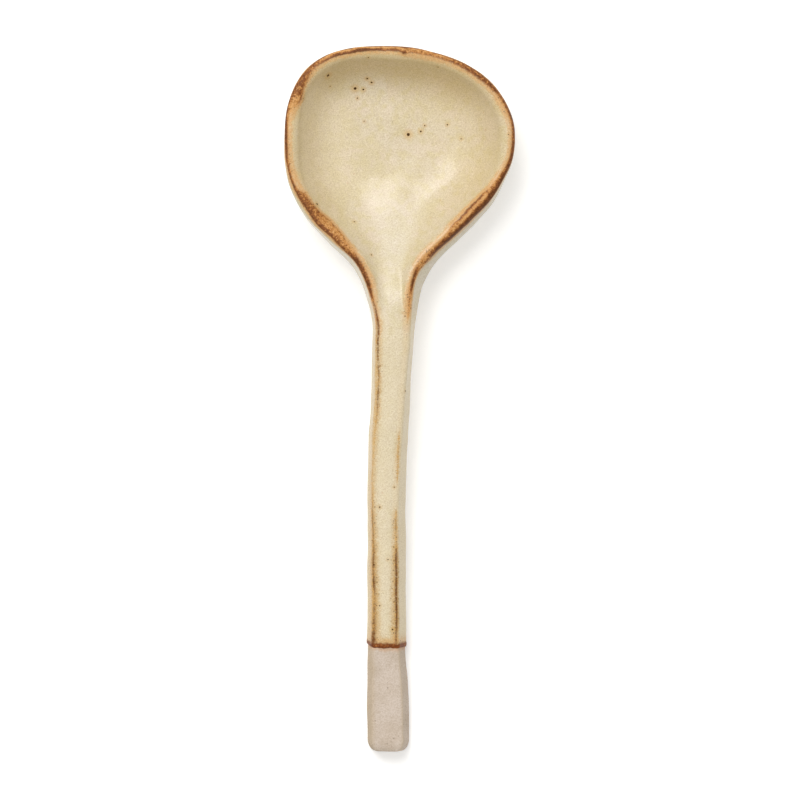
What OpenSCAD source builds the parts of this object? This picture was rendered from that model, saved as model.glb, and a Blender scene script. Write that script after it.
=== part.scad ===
// Hand-built stoneware serving spoon: a wide shallow bowl luted to a squared
// handle, dipped in cream glaze that breaks to iron brown along every edge and
// stops short of the handle's end. It lies on its flattened foot and on the
// underside of the handle's end. +Y points to the bowl's tip, +Z is up.

/* [Length] */
// Handle, from its bare end to where the neck starts to widen
handle_len = 105; // [90:1:130]
// Neck and near half of the bowl, up to the bowl's widest line
flare_len = 51; // [46:1:60]
// Far half of the bowl, from the widest line to the tip
tip_len = 24; // [20:1:28]
// Unglazed end of the handle
bare_len = 26.5; // [18:0.5:36]
// Distance of the scarf joint from the start of the neck
joint_back = 6; // [4:0.5:10]

/* [Width] */
// Clay width of the bowl at its widest
bowl_w = 58.2; // [50:0.2:66]
// Clay width of the handle
handle_w = 9.6; // [8:0.1:12]
// How far the handle's line lies to the left of the bowl's
handle_shift = 3.3; // [0:0.1:6]
// How far the neck lies to the left of the bowl's line
neck_shift = 1.7; // [0:0.1:4]
// How far the tip lies to the left of the bowl's line
tip_shift = 5; // [0:0.1:7]
// Roundness of the left shoulder, 2 is an ellipse
left_round = 2.6; // [2:0.1:3]
// Roundness of the right shoulder, 2 is an ellipse
right_round = 2.2; // [2:0.1:3]

/* [Height] */
// Height of the rim at the bowl's widest line
rim_h = 15; // [12:0.1:18]
// How much lower the rim is at the tip
tip_drop = 1; // [0:0.1:2]
// Clay under the bowl's hollow, at the foot
floor_t = 3.2; // [2.4:0.1:4.5]
// Thickness of the handle
handle_t = 7.8; // [6.5:0.1:9]
// Height of the handle's underside at the neck
neck_rise = 8.2; // [6:0.1:10]
// How deep the board flattened the underside while the clay was soft
rest_flat = 0.35; // [0.2:0.05:0.5]

/* [Rim and edges] */
// Clay thickness of the rim
rim_t = 2.5; // [2:0.1:3]
// Edge radius on top of the handle
edge_r = 0.9; // [0.6:0.1:1.2]
// Corner radius of the handle's end
end_r = 2; // [1.2:0.1:2.6]
// Greatest width of the wall that slopes out below the rim
skirt_w = 2; // [1:0.1:2.4]

/* [Glaze and slip] */
// Thickness of the glaze on a plain wall
glaze_t = 0.35; // [0.25:0.05:0.5]
// Width of the bead where the glaze stops
bead_w = 1.4; // [1:0.1:2.5]
// Height to which the glaze is wiped off round the foot
wipe_h = 0.15; // [0.1:0.05:0.3]
// Thickness of the slip film in the joint
slip_t = 0.5; // [0.3:0.1:0.8]
// Rise of the scarf joint for each millimetre along the handle
scarf_slope = 0.5; // [0:0.1:0.7]

/* [Hidden] */

// Hand-built outline, evenly spaced from the handle's end to the neck, as
// shares of half the handle's width
handle_left_shares = [1.03, 1.05, 1, 0.98, 0.955, 0.95, 0.955, 0.955, 1.03];
handle_right_shares = [1.2, 1.17, 1, 0.94, 0.965, 0.945, 1.01, 0.985, 1.03];
// Spine of the handle, as shares of the way from handle_shift to neck_shift
handle_line_shares = [0, 0, 0, 0, 0, 0, 0.1, 0.6, 1];
// Spread of the neck and bowl, evenly spaced from the neck to the widest line
flare_left_shares = [0, 0.006, 0.05, 0.132, 0.27, 0.505, 0.72, 0.86, 0.957, 0.995, 1];
flare_right_shares = [0, 0.018, 0.05, 0.105, 0.225, 0.418, 0.618, 0.79, 0.896, 0.972, 1];
// How far the spine leads the outline, as shares of flare_len
lead_shares = [0, 0.105, 0.22, 0.37, 0.54, 0.69, 0.8, 0.87, 0.915, 0.945, 0.96];
// Rise of the handle's underside from its resting end to the neck
rise_shares = [0, 0.02, 0.12, 0.27, 0.42, 0.57, 0.72, 0.87, 1];
// Thickness of the handle, from its end to the neck
thick_shares = [0.9, 0.94, 0.98, 1, 1, 1, 1, 1.02, 1.05];
// Fall of the neck's underside and of its floor, evenly spaced along the spine
neck_under_shares = [1, 0.99, 0.93, 0.8, 0.6, 0.38, 0.19, 0.06, 0, 0, 0];
neck_floor_shares = [1, 0.99, 0.95, 0.86, 0.7, 0.5, 0.3, 0.14, 0.05, 0.01, 0];
// Fall of the rim line from the neck to the widest line
neck_rim_shares = [1, 0.96, 0.86, 0.7, 0.52, 0.36, 0.22, 0.12, 0.05, 0.01, 0];
// How dished the section is: 0 is the flat-topped handle, 1 is the bowl
dish_shares = [0, 0.05, 0.2, 0.45, 0.7, 0.9, 1, 1, 1, 1, 1];
// Radius of the rim's roll into the hollow, from the neck to the widest line and
// at the tip, as shares of half its thickness, and the slope at which it ends
roll_shares = [1, 1.05, 1.2, 1.4, 1.55, 1.65, 1.75, 1.75, 1.75, 1.75, 1.75];
tip_roll_share = 2.2;
roll_turn = 65;
// Thickness of the rim at the tip, as a share of rim_t
tip_rim_share = 0.8;
// Width of the sloping wall outside the rim, as shares of skirt_w
handle_skirt_left_shares = [0.35, 0.35, 0.35, 0.35, 0.35, 0.3, 0.25, 0.2, 0.15];
handle_skirt_right_shares = [0.55, 0.6, 0.6, 0.6, 0.6, 0.55, 0.45, 0.35, 0.2];
flare_skirt_left_shares = [0.15, 0.15, 0.2, 0.28, 0.35, 0.25, 0.1, 0.03, 0, 0, 0];
flare_skirt_right_shares = [0.2, 0.3, 0.6, 0.9, 0.85, 0.75, 0.65, 0.4, 0.12, 0, 0];
// Thickness of the glaze, evenly spaced over the columns: pooled in the middle
// of the hollow, thin on the rim, plain on the walls and down to the foot
coat_shares = [1.25, 1.25, 1.22, 1.12, 0.95, 0.7, 0.56, 0.8, 0.97, 1, 1, 1, 1];
// Thickness of the bead, as a share of the glaze's
bead_share = 1.25;
// Height of the widest line of the handle's sides, and of the bowl's wall, as
// shares of the handle's thickness and of the rim's
side_drop_share = 0.6;
wall_drop_share = 1.1;
// Squareness of the handle's section and of the bowl's, 2 is an ellipse
handle_square = 4.5;
bowl_square = 2.15;
// Least and greatest flatness of the hollow's floor, 2 is a round bowl
round_floor = 2.6;
flat_floor = 5;
// How far the spine runs past the widest line and towards the tip
spine_past_share = 0.2;
spine_aside_share = 0.35;

// Columns of a half section: across the hollow, over the rim, down the skirt
// and under to the foot
hollow_steps = 8;
rim_steps = 4;
skirt_steps = 1;
under_steps = 8;
rim_in = hollow_steps;
rim_out = rim_in + rim_steps;
side_col = rim_out + skirt_steps;
last_col = side_col + under_steps;

// Rows from the handle's end to the bowl's tip
end_steps = 3;
bare_steps = 2;
handle_steps = 6;
flare_steps = 20;
tip_steps = 14;
dip_row = end_steps + bare_steps;
bead_row = dip_row + 1;
joint_row = bead_row + handle_steps;
last_row = joint_row + 1 + flare_steps + tip_steps + 1;

// Whole length with its coat, and the lines across it, the middle at y = 0
full_len = handle_len + flare_len + tip_len + glaze_t * coat_share(side_col);
end_y = -full_len / 2;
neck_y = end_y + handle_len;
wide_y = neck_y + flare_len;
joint_at = handle_len - joint_back;
neck_top = neck_rise + handle_t * thick_shares[len(thick_shares) - 1];
// Larger than anything that it cuts
overrun = full_len;

function mix(a, b, f) = a + (b - a) * f;
function unit(v) = v / norm(v);

// Smooth curve through evenly spaced shares, read at x from 0 to 1
function along(shares, x) =
    let (
        n = len(shares) - 1,
        k = max(0, min(floor(x * n), n - 1)),
        f = x * n - k,
        a = shares[max(k - 1, 0)],
        b = shares[k],
        c = shares[k + 1],
        d = shares[min(k + 2, n)]
    )
    b + f * (c - a + f * (2 * a - 5 * b + 4 * c - d + f * (3 * (b - c) + d - a))) / 2;

function coat_share(j) = along(coat_shares, j / last_col);

// One of two tables, for the left side (-1) or the right side (1)
function sided(side, left, right) = side < 0 ? left : right;

// Places along the spoon: 0 to 1 on the handle, 1 to 2 on the neck and near
// half of the bowl, 2 to 3 round the far half
function lead(q) = along(lead_shares, q - 1);

// Outline of the clay seen from above, left or right
function edge(q, side) =
    q <= 1 ?
        [
            -mix(handle_shift, neck_shift, along(handle_line_shares, q))
                + side * handle_w / 2 * along(sided(side, handle_left_shares, handle_right_shares), q),
            end_y + handle_len * q
        ]
    : q <= 2 ?
        [
            mix(edge(1, side)[0], side * bowl_w / 2,
                along(sided(side, flare_left_shares, flare_right_shares), q - 1)),
            neck_y + flare_len * (q - 1)
        ]
    :
        let (turn = 90 * (q - 2), power = 2 / sided(side, left_round, right_round))
        [
            -tip_shift + (side * bowl_w / 2 + tip_shift) * pow(cos(turn), power),
            wide_y + tip_len * pow(sin(turn), power)
        ];

// Spine of the spoon seen from above, which leads the outline in the bowl
function spine(q) =
    q <= 1 ? (edge(q, -1) + edge(q, 1)) / 2
    : q <= 2 ?
        [
            (edge(1, -1)[0] + edge(1, 1)[0]) / 2 * pow(1 - lead(q), 2),
            neck_y + flare_len * lead(q)
        ]
    :
        let (turn = 90 * (q - 2), start = spine(2))
        [
            mix(start[0], -tip_shift * spine_aside_share, 1 - cos(turn)),
            mix(start[1], wide_y + tip_len * spine_past_share, sin(turn))
        ];

// Place along the neck, from 0 to 1, of a point at a share of the ray from the
// spine. It follows the point near the spine, so that left and right meet
// there without a crease, and the spine itself near the outline.
function neck_place(q, side, share) =
    let (from = spine(q)[1], to = edge(q, side)[1])
    max(0, min((from + (to - from) * share * (1 - share) - neck_y) / flare_len, 1));

// Heights of the underside, of the hollow's floor and of the rim
function under_z(q, side, share) =
    -rest_flat + (neck_rise + rest_flat)
        * (q <= 1 ? along(rise_shares, q) : along(neck_under_shares, neck_place(q, side, share)));
function top_z(q, side, share) =
    q <= 1 ? under_z(q, side, share) + handle_t * along(thick_shares, q)
    : mix(floor_t, neck_top, along(neck_floor_shares, neck_place(q, side, share)));
function rim_z(q) =
    q <= 1 ? top_z(q, 1, 0)
    : q <= 2 ? mix(rim_h, neck_top, along(neck_rim_shares, q - 1))
    : rim_h - tip_drop * pow(sin(90 * (q - 2)), 2);

function dish(q) = q <= 1 ? 0 : q <= 2 ? along(dish_shares, q - 1) : 1;
function rim_half(q) = rim_t / 2 * (q <= 2 ? 1 : mix(1, tip_rim_share, sin(90 * (q - 2))));
function roll(q) =
    q <= 1 ? 1
    : q <= 2 ? along(roll_shares, q - 1)
    : mix(roll_shares[len(roll_shares) - 1], tip_roll_share, sin(90 * (q - 2)));
function skirt(q, side) =
    skirt_w * (
        q <= 1 ? along(sided(side, handle_skirt_left_shares, handle_skirt_right_shares), q)
        : q <= 2 ? along(sided(side, flare_skirt_left_shares, flare_skirt_right_shares), q - 1)
        : 0
    );

// Half section at q: distance from the spine as a share of the ray to the
// outline, and height, for column j
function section(q, side, j) =
    let (
        ray = norm(edge(q, side) - spine(q)),
        d = dish(q),
        inset = rim_half(q) + skirt(q, side),
        in_r = mix(edge_r, rim_half(q) * roll(q), d),
        in_w = in_r * sin(roll_turn),
        in_h = in_r * d * (1 - cos(roll_turn)),
        out_w = min(inset, mix(edge_r, rim_half(q), d)),
        out_h = mix(edge_r, rim_half(q), d),
        crest = ray - inset,
        crest_z = rim_z(q),
        side_z = crest_z - out_h
            - mix(handle_t * side_drop_share - edge_r, rim_t * wall_drop_share, d),
        square = mix(handle_square, bowl_square, d)
    )
    j <= rim_in ?
        let (
            x = sin(90 * j / hollow_steps),
            share = (crest - in_w) * x / ray,
            steep = (crest - in_w) * tan(roll_turn),
            drop = crest_z - in_h - top_z(q, side, 0),
            power = steep < flat_floor * drop ? max(steep / drop, round_floor) : flat_floor
        )
        [share, mix(top_z(q, side, share), crest_z - in_h, pow(x, power))]
    : j <= rim_out ?
        let (half = (j - rim_in) / (rim_steps / 2) - 1)
        half < 0 ?
            [(crest + in_r * sin(roll_turn * half)) / ray, crest_z - in_r * d * (1 - cos(roll_turn * half))]
        :
            [(crest + out_w * sin(90 * half)) / ray, crest_z - out_h * (1 - cos(90 * half))]
    :
        let (
            turn = 90 * (j - side_col) / under_steps,
            power = 2 / square,
            share = pow(cos(turn), power)
        )
        [share, mix(side_z, under_z(q, side, share), pow(sin(turn), power))];

// Point of the clay's skin at place q, column c from -last_col (left, foot)
// over 0 (middle of the hollow) to last_col (right, foot)
function skin(q, c) =
    let (side = c < 0 ? -1 : 1, p = section(q, side, abs(c)), at = mix(spine(q), edge(q, side), p[0]))
    [at[0], at[1], p[1]];

// Places of the rows, as distances from the handle's end
function rounding(k) = end_r * (1 - cos(90 * k / end_steps));
row_places = [
    for (k = [0:end_steps]) rounding(k) / handle_len,
    for (k = [1:bare_steps]) mix(end_r, bare_len, k / bare_steps) / handle_len,
    for (k = [0:handle_steps]) mix(bare_len + bead_w, joint_at, k / handle_steps) / handle_len,
    (joint_at + slip_t) / handle_len,
    for (k = [0:flare_steps]) 1 + k / flare_steps,
    for (k = [1:tip_steps]) 2 + k / tip_steps
];

// The joint's two rows lean, so that handle and bowl meet in a scarf
function leaning(i, p) =
    i == joint_row || i == joint_row + 1 ? scarf_slope * (p[2] - neck_top + handle_t / 2) : 0;

// The first rows draw in towards the middle of the section and round the end
function drawn_in(i, p) =
    i >= end_steps ? p
    :
        let (
            shrink = end_r * (1 - sin(90 * i / end_steps)),
            middle = [spine(0)[0], p[1], (under_z(0, 1, 0) + top_z(0, 1, 0)) / 2],
            scale_x = 1 - shrink / (handle_w / 2),
            scale_z = 1 - shrink / handle_t
        )
        [mix(middle[0], p[0], scale_x), p[1], mix(middle[2], p[2], scale_z)];

clay = [
    for (i = [0:last_row])
    let (q = row_places[i])
    [
        for (c = [-last_col:last_col])
        let (p = skin(q, c))
        drawn_in(i, leaning(i, p) == 0 ? p : skin(q + leaning(i, p) / handle_len, c))
    ]
];

function clay_at(i, c) =
    i > last_row ? clay_at(2 * last_row - i, -c)
    : c > last_col ? clay[i][c - last_col]
    : c < -last_col ? clay[i][c + 3 * last_col]
    : clay[i][c + last_col];

// Outward direction of the skin. The last row's middle has only one
// neighbour ahead, so it takes the direction of the row before.
function outward(i, c) =
    i == last_row && (c == 0 || abs(c) == last_col) ? outward(i - 1, c)
    : unit(cross(clay_at(i, c + 1) - clay_at(i, c - 1), clay_at(i + 1, c) - clay_at(max(i - 1, 0), c)));

function coat_t(i, c) =
    glaze_t * coat_share(abs(c)) * (i == dip_row || i == bead_row ? bead_share : 1);

coat = [
    for (i = [0:last_row])
    [
        for (c = [-last_col:last_col])
        clay_at(i, c) + outward(i, c) * (i < dip_row ? 0 : coat_t(i, c))
    ]
];

// Number of a grid point. Left and right are one line at the tip, and one
// line along the foot.
row_len = 2 * last_col;
function grid(i, c) =
    let (
        round_c = c >= last_col ? c - row_len : c,
        tip_c = i == last_row ? -abs(round_c) : round_c
    )
    i * row_len + tip_c + last_col;
function grid_points(rows) = [for (row = rows) for (c = [0:row_len - 1]) row[c]];
shell_points = concat(grid_points(clay), grid_points(coat));
coat_first = (last_row + 1) * row_len;

// Faces of the skin between two rows and two columns, seen from outside
function skin_faces(i0, i1, c0, c1) = [
    for (i = [i0:i1 - 1])
    for (c = [c0:c1 - 1])
    for (half = [0, 1])
    let (a = grid(i, c), b = grid(i, c + 1), e = grid(i + 1, c + 1), f = grid(i + 1, c))
    half == 0 ? [a, f, e] : [a, e, b]
];

function raised(faces) = [for (f = faces) f + [coat_first, coat_first, coat_first]];
function turned(faces) = [for (f = faces) [f[0], f[2], f[1]]];

// Wall between the clay and the coat along a line of grid points
function wall_faces(line) = [
    for (k = [0:len(line) - 2])
    for (half = [0, 1])
    half == 0 ? [line[k], line[k + 1] + coat_first, line[k + 1]]
        : [line[k], line[k] + coat_first, line[k + 1] + coat_first]
];

// Layer of glaze over rows i0 to i1 and columns c0 to c1. A whole turn has no
// long edges, and a layer that reaches the tip closes on itself there.
module layer(i0, i1, spans) {
    faces = [
        for (s = spans)
        let (c0 = s[0], c1 = s[1], open = c1 - c0 < row_len, outer = skin_faces(i0, i1, c0, c1))
        each concat(
            raised(outer),
            turned(outer),
            open ? wall_faces([for (i = [i1:-1:i0]) grid(i, c0)]) : [],
            open ? wall_faces([for (i = [i0:i1]) grid(i, c1)]) : [],
            wall_faces([for (c = [c0:c1]) grid(i0, c)]),
            i1 < last_row ? wall_faces([for (c = [c1:-1:c0]) grid(i1, c)]) : []
        )
    ];
    polyhedron(shell_points, faces);
}

// Middle of the section that closes a length of clay
function middle(i) = [
    mix(clay_at(i, 0)[0], clay_at(i, last_col)[0], 0.5),
    mix(clay_at(i, 0)[1], clay_at(i, last_col)[1], 0.5),
    mix(clay_at(i, 0)[2], clay_at(i, last_col)[2], 0.5)
];

// Length of clay from row i0 to row i1, closed by a fan at each open end
module billet(i0, i1) {
    points = concat(grid_points(clay), [middle(i0), middle(i1)]);
    first = len(points) - 2;
    faces = concat(
        skin_faces(i0, i1, -last_col, last_col),
        [for (c = [-last_col:last_col - 1]) [first, grid(i0, c), grid(i0, c + 1)]],
        i1 < last_row ? [for (c = [-last_col:last_col - 1]) [first + 1, grid(i1, c + 1), grid(i1, c)]] : []
    );
    polyhedron(points, faces);
}

// Everything below a height, to cut a resting face
module below(height) {
    translate([-overrun, -overrun, height - overrun])
        cube([2 * overrun, 2 * overrun, overrun]);
}

module bowl() {
    color("#b8a593")
    difference() {
        billet(joint_row + 1, last_row);
        below(0);
    }
}

module handle() {
    color("#bcaa9a")
    difference() {
        billet(0, joint_row);
        below(0);
    }
}

module joint_slip() {
    color("#9c8b7c") billet(joint_row, joint_row + 1);
}

module top_glaze() {
    color("#e4d9b8") layer(bead_row, last_row, [[-rim_in, rim_in]]);
}

module under_glaze() {
    color("#d9cfb4")
    difference() {
        layer(bead_row, last_row, [[rim_out, row_len - rim_out]]);
        below(wipe_h);
    }
}

module rim_band() {
    color("#6e3d20") layer(bead_row, last_row, [[-rim_out, -rim_in], [rim_in, rim_out]]);
}

module dip_band() {
    color("#8c4f30")
    difference() {
        layer(dip_row, bead_row, [[-last_col, last_col]]);
        below(wipe_h);
    }
}

bowl();
handle();
joint_slip();
top_glaze();
under_glaze();
rim_band();
dip_band();
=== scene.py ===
import bmesh
import bpy
import numpy as np
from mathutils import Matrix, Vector
from mathutils.bvhtree import BVHTree


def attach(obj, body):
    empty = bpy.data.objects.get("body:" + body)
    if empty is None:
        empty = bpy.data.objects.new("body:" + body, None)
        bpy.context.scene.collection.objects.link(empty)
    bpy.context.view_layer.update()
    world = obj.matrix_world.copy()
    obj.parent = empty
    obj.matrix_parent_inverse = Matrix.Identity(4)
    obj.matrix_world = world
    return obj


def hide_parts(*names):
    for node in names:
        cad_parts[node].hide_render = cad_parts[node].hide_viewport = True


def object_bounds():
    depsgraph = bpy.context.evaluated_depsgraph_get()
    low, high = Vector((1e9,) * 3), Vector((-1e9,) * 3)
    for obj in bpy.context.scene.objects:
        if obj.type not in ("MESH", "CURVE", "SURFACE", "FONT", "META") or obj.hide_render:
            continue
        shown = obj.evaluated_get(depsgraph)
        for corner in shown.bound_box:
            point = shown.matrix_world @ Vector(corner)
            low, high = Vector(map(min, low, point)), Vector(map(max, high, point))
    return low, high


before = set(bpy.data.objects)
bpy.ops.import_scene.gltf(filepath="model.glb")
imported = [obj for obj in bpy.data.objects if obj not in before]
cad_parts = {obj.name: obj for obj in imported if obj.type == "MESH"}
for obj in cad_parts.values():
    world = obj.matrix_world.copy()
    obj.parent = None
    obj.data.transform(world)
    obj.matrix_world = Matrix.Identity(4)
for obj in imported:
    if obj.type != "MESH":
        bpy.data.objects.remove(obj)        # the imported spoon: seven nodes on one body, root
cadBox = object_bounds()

mm = 0.001
weld = 1e-6  # metres between points that are one
print("frame loaded:", len(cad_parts), "nodes")

# The clay in mm, with the frame's own sizes. Lists are shares, evenly spaced, left is -1
# and right is 1. The squares, rounds and flatFloor are powers, and rollTurn is in degrees.
spoon = {
    "handleLen": 105.0,
    "flareLen": 51.0,
    "tipLen": 24.0,
    "bareLen": 26.5,
    "jointBack": 6.0,
    "bowlW": 58.2,
    "handleW": 9.6,
    "handleShift": 3.3,
    "neckShift": 1.7,
    "tipShift": 5.0,
    "round": {-1: 2.6, 1: 2.2},
    "rimH": 15.0,
    "tipDrop": 1.0,
    "floorT": 3.2,
    "handleT": 7.8,
    "neckRise": 8.2,
    "restFlat": 0.35,
    "rimT": 2.5,
    "edgeR": 0.9,
    "endR": 2.0,
    "endLong": 3.2,
    "skirtW": 2.0,
    "glazeT": 0.35,
    "slipT": 0.5,
    "scarfSlope": 0.5,
    "handleSide": {
        -1: [1.03, 1.05, 1, 0.98, 0.955, 0.95, 0.955, 0.955, 1.03],
        1: [1.2, 1.17, 1, 0.94, 0.965, 0.945, 1.01, 0.985, 1.03],
    },
    "handleLine": [0, 0, 0, 0, 0, 0, 0.1, 0.6, 1],
    "flareSide": {
        -1: [0, 0.006, 0.05, 0.132, 0.27, 0.505, 0.72, 0.86, 0.957, 0.995, 1],
        1: [0, 0.018, 0.05, 0.105, 0.225, 0.418, 0.618, 0.79, 0.896, 0.972, 1],
    },
    "lead": [0, 0.105, 0.22, 0.37, 0.54, 0.69, 0.8, 0.87, 0.915, 0.945, 0.96],
    "rise": [0, 0.02, 0.12, 0.27, 0.42, 0.57, 0.72, 0.87, 1],
    "thick": [0.9, 0.94, 0.98, 1, 1, 1, 1, 1.02, 1.05],
    "neckUnder": [1, 0.99, 0.93, 0.8, 0.6, 0.38, 0.19, 0.06, 0, 0, 0],
    "neckFloor": [1, 0.99, 0.95, 0.86, 0.7, 0.5, 0.3, 0.14, 0.05, 0.01, 0],
    "neckRim": [1, 0.96, 0.86, 0.7, 0.52, 0.36, 0.22, 0.12, 0.05, 0.01, 0],
    "dish": [0, 0.05, 0.2, 0.45, 0.7, 0.9, 1, 1, 1, 1, 1],
    "roll": [1, 1.05, 1.2, 1.4, 1.55, 1.65, 1.75, 1.75, 1.75, 1.75, 1.75],
    "tipRoll": 2.2,
    "rollTurn": 65.0,
    "tipRim": 0.8,
    "handleSkirt": {
        -1: [0.35, 0.35, 0.35, 0.35, 0.35, 0.3, 0.25, 0.2, 0.15],
        1: [0.55, 0.6, 0.6, 0.6, 0.6, 0.55, 0.45, 0.35, 0.2],
    },
    "flareSkirt": {
        -1: [0.15, 0.15, 0.2, 0.28, 0.35, 0.25, 0.1, 0.03, 0, 0, 0],
        1: [0.2, 0.3, 0.6, 0.9, 0.85, 0.75, 0.65, 0.4, 0.12, 0, 0],
    },
    "coat": [1.25, 1.25, 1.22, 1.12, 0.95, 0.7, 0.56, 0.8, 0.97, 1, 1, 1, 1],
    "beadSwell": 0.25,
    "sideDrop": 0.6,
    "wallDrop": 1.1,
    "handleSquare": 4.5,
    "bowlSquare": 2.15,
    "roundFloor": 2.6,
    "flatFloor": 5.0,
    "spinePast": 0.2,
    "spineAside": 0.35,
}

# Columns across half a section: the hollow ends at rimIn, the rim is highest at rimTop and
# ends at rimOut, the skirt ends at sideCol, and the underside at lastCol
rimIn, rimTop, rimOut, sideCol, lastCol = 8, 10, 12, 13, 21

sampling = {  # how finely each stretch is drawn
    "hollow": 26,
    "rim": 16,
    "skirt": 4,
    "under": 30,
    "handleStep": 0.6,
    "flareRows": 112,
    "tipRows": 72,
    "tipEven": 1.3,
    "scarfRows": 10,
    "endRows": 12,
    "footProbes": 161,
}


def mix(a, b, f):
    return a + (b - a) * f


def smooth(x, low, high):
    f = np.clip((x - low) / (high - low), 0, 1)
    return f * f * (3 - 2 * f)


def quarter(x):  # a quarter turn while x goes from 0 to 1
    return np.radians(90 * np.clip(x, 0, 1))


def along(shares, x):  # smooth curve through evenly spaced shares, x from 0 to 1
    v = np.asarray(shares, float)
    n = len(v) - 1
    x = np.clip(x, 0, 1)
    k = np.clip(np.floor(x * n).astype(int), 0, n - 1)
    f = x * n - k
    a, b, c, d = v[np.maximum(k - 1, 0)], v[k], v[k + 1], v[np.minimum(k + 2, n)]
    return b + f * (c - a + f * (2 * a - 5 * b + 4 * c - d + f * (3 * (b - c) + d - a))) / 2


def byPlace(q, onHandle, onFlare, onTip):  # q: 0 to 1 handle, to 2 neck and near bowl, to 3 far bowl
    return np.where(q <= 1, onHandle, np.where(q <= 2, onFlare, onTip))


def coatShare(j):  # eased at the hollow's edge, where the columns crowd together
    eased = np.where(j < rimIn, rimIn * np.sin(quarter(j / rimIn)), j)
    return along(spoon["coat"], eased / lastCol)


fullLen = spoon["handleLen"] + spoon["flareLen"] + spoon["tipLen"] + spoon["glazeT"] * coatShare(sideCol)
endY = -fullLen / 2
neckY = endY + spoon["handleLen"]
wideY = neckY + spoon["flareLen"]
neckTop = spoon["neckRise"] + spoon["handleT"] * spoon["thick"][-1]


def outline(q, side):  # the clay's edge seen from above, left is -1
    turn = quarter(q - 2)
    power = 2 / spoon["round"][side]
    half = side * spoon["handleW"] / 2 * along(spoon["handleSide"][side], q)
    lineX = -mix(spoon["handleShift"], spoon["neckShift"], along(spoon["handleLine"], q))
    neckX = side * spoon["handleW"] / 2 * spoon["handleSide"][side][-1] - spoon["neckShift"]
    flareX = mix(neckX, side * spoon["bowlW"] / 2, along(spoon["flareSide"][side], q - 1))
    tipX = -spoon["tipShift"] + (side * spoon["bowlW"] / 2 + spoon["tipShift"]) * np.cos(turn) ** power
    tipY = wideY + spoon["tipLen"] * np.sin(turn) ** power
    y = byPlace(q, endY + spoon["handleLen"] * q, neckY + spoon["flareLen"] * (q - 1), tipY)
    return np.stack([byPlace(q, lineX + half, flareX, tipX), y], -1)


def spine(q):  # the line that the sections fan out from
    leadAt = along(spoon["lead"], q - 1)
    turn = quarter(q - 2)
    middle = (outline(q, -1) + outline(q, 1)) / 2
    one = np.array(1.0)
    neckX = (outline(one, -1)[0] + outline(one, 1)[0]) / 2
    startX = neckX * (1 - spoon["lead"][-1]) ** 2
    startY = neckY + spoon["flareLen"] * spoon["lead"][-1]
    aside = -spoon["tipShift"] * spoon["spineAside"]
    past = wideY + spoon["tipLen"] * spoon["spinePast"]
    x = byPlace(q, middle[..., 0], neckX * (1 - leadAt) ** 2, mix(startX, aside, 1 - np.cos(turn)))
    y = byPlace(q, middle[..., 1], neckY + spoon["flareLen"] * leadAt, mix(startY, past, np.sin(turn)))
    return np.stack([x, y], -1)


def neckPlace(q, side, share):  # 0 to 1 along the neck; near the spine it follows the point itself
    start, end = spine(q)[..., 1], outline(q, side)[..., 1]
    return np.clip((start + (end - start) * share * (1 - share) - neckY) / spoon["flareLen"], 0, 1)


def underZ(q, side=1, share=0.0):
    onNeck = along(spoon["neckUnder"], neckPlace(q, side, share))
    rise = np.where(q <= 1, along(spoon["rise"], q), onNeck)
    return -spoon["restFlat"] + (spoon["neckRise"] + spoon["restFlat"]) * rise


def topZ(q, side=1, share=0.0):
    onNeck = mix(spoon["floorT"], neckTop, along(spoon["neckFloor"], neckPlace(q, side, share)))
    return np.where(q <= 1, underZ(q) + spoon["handleT"] * along(spoon["thick"], q), onNeck)


def rimZ(q):
    atTip = spoon["rimH"] - spoon["tipDrop"] * np.sin(quarter(q - 2)) ** 2
    return byPlace(q, topZ(q), mix(spoon["rimH"], neckTop, along(spoon["neckRim"], q - 1)), atTip)


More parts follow.
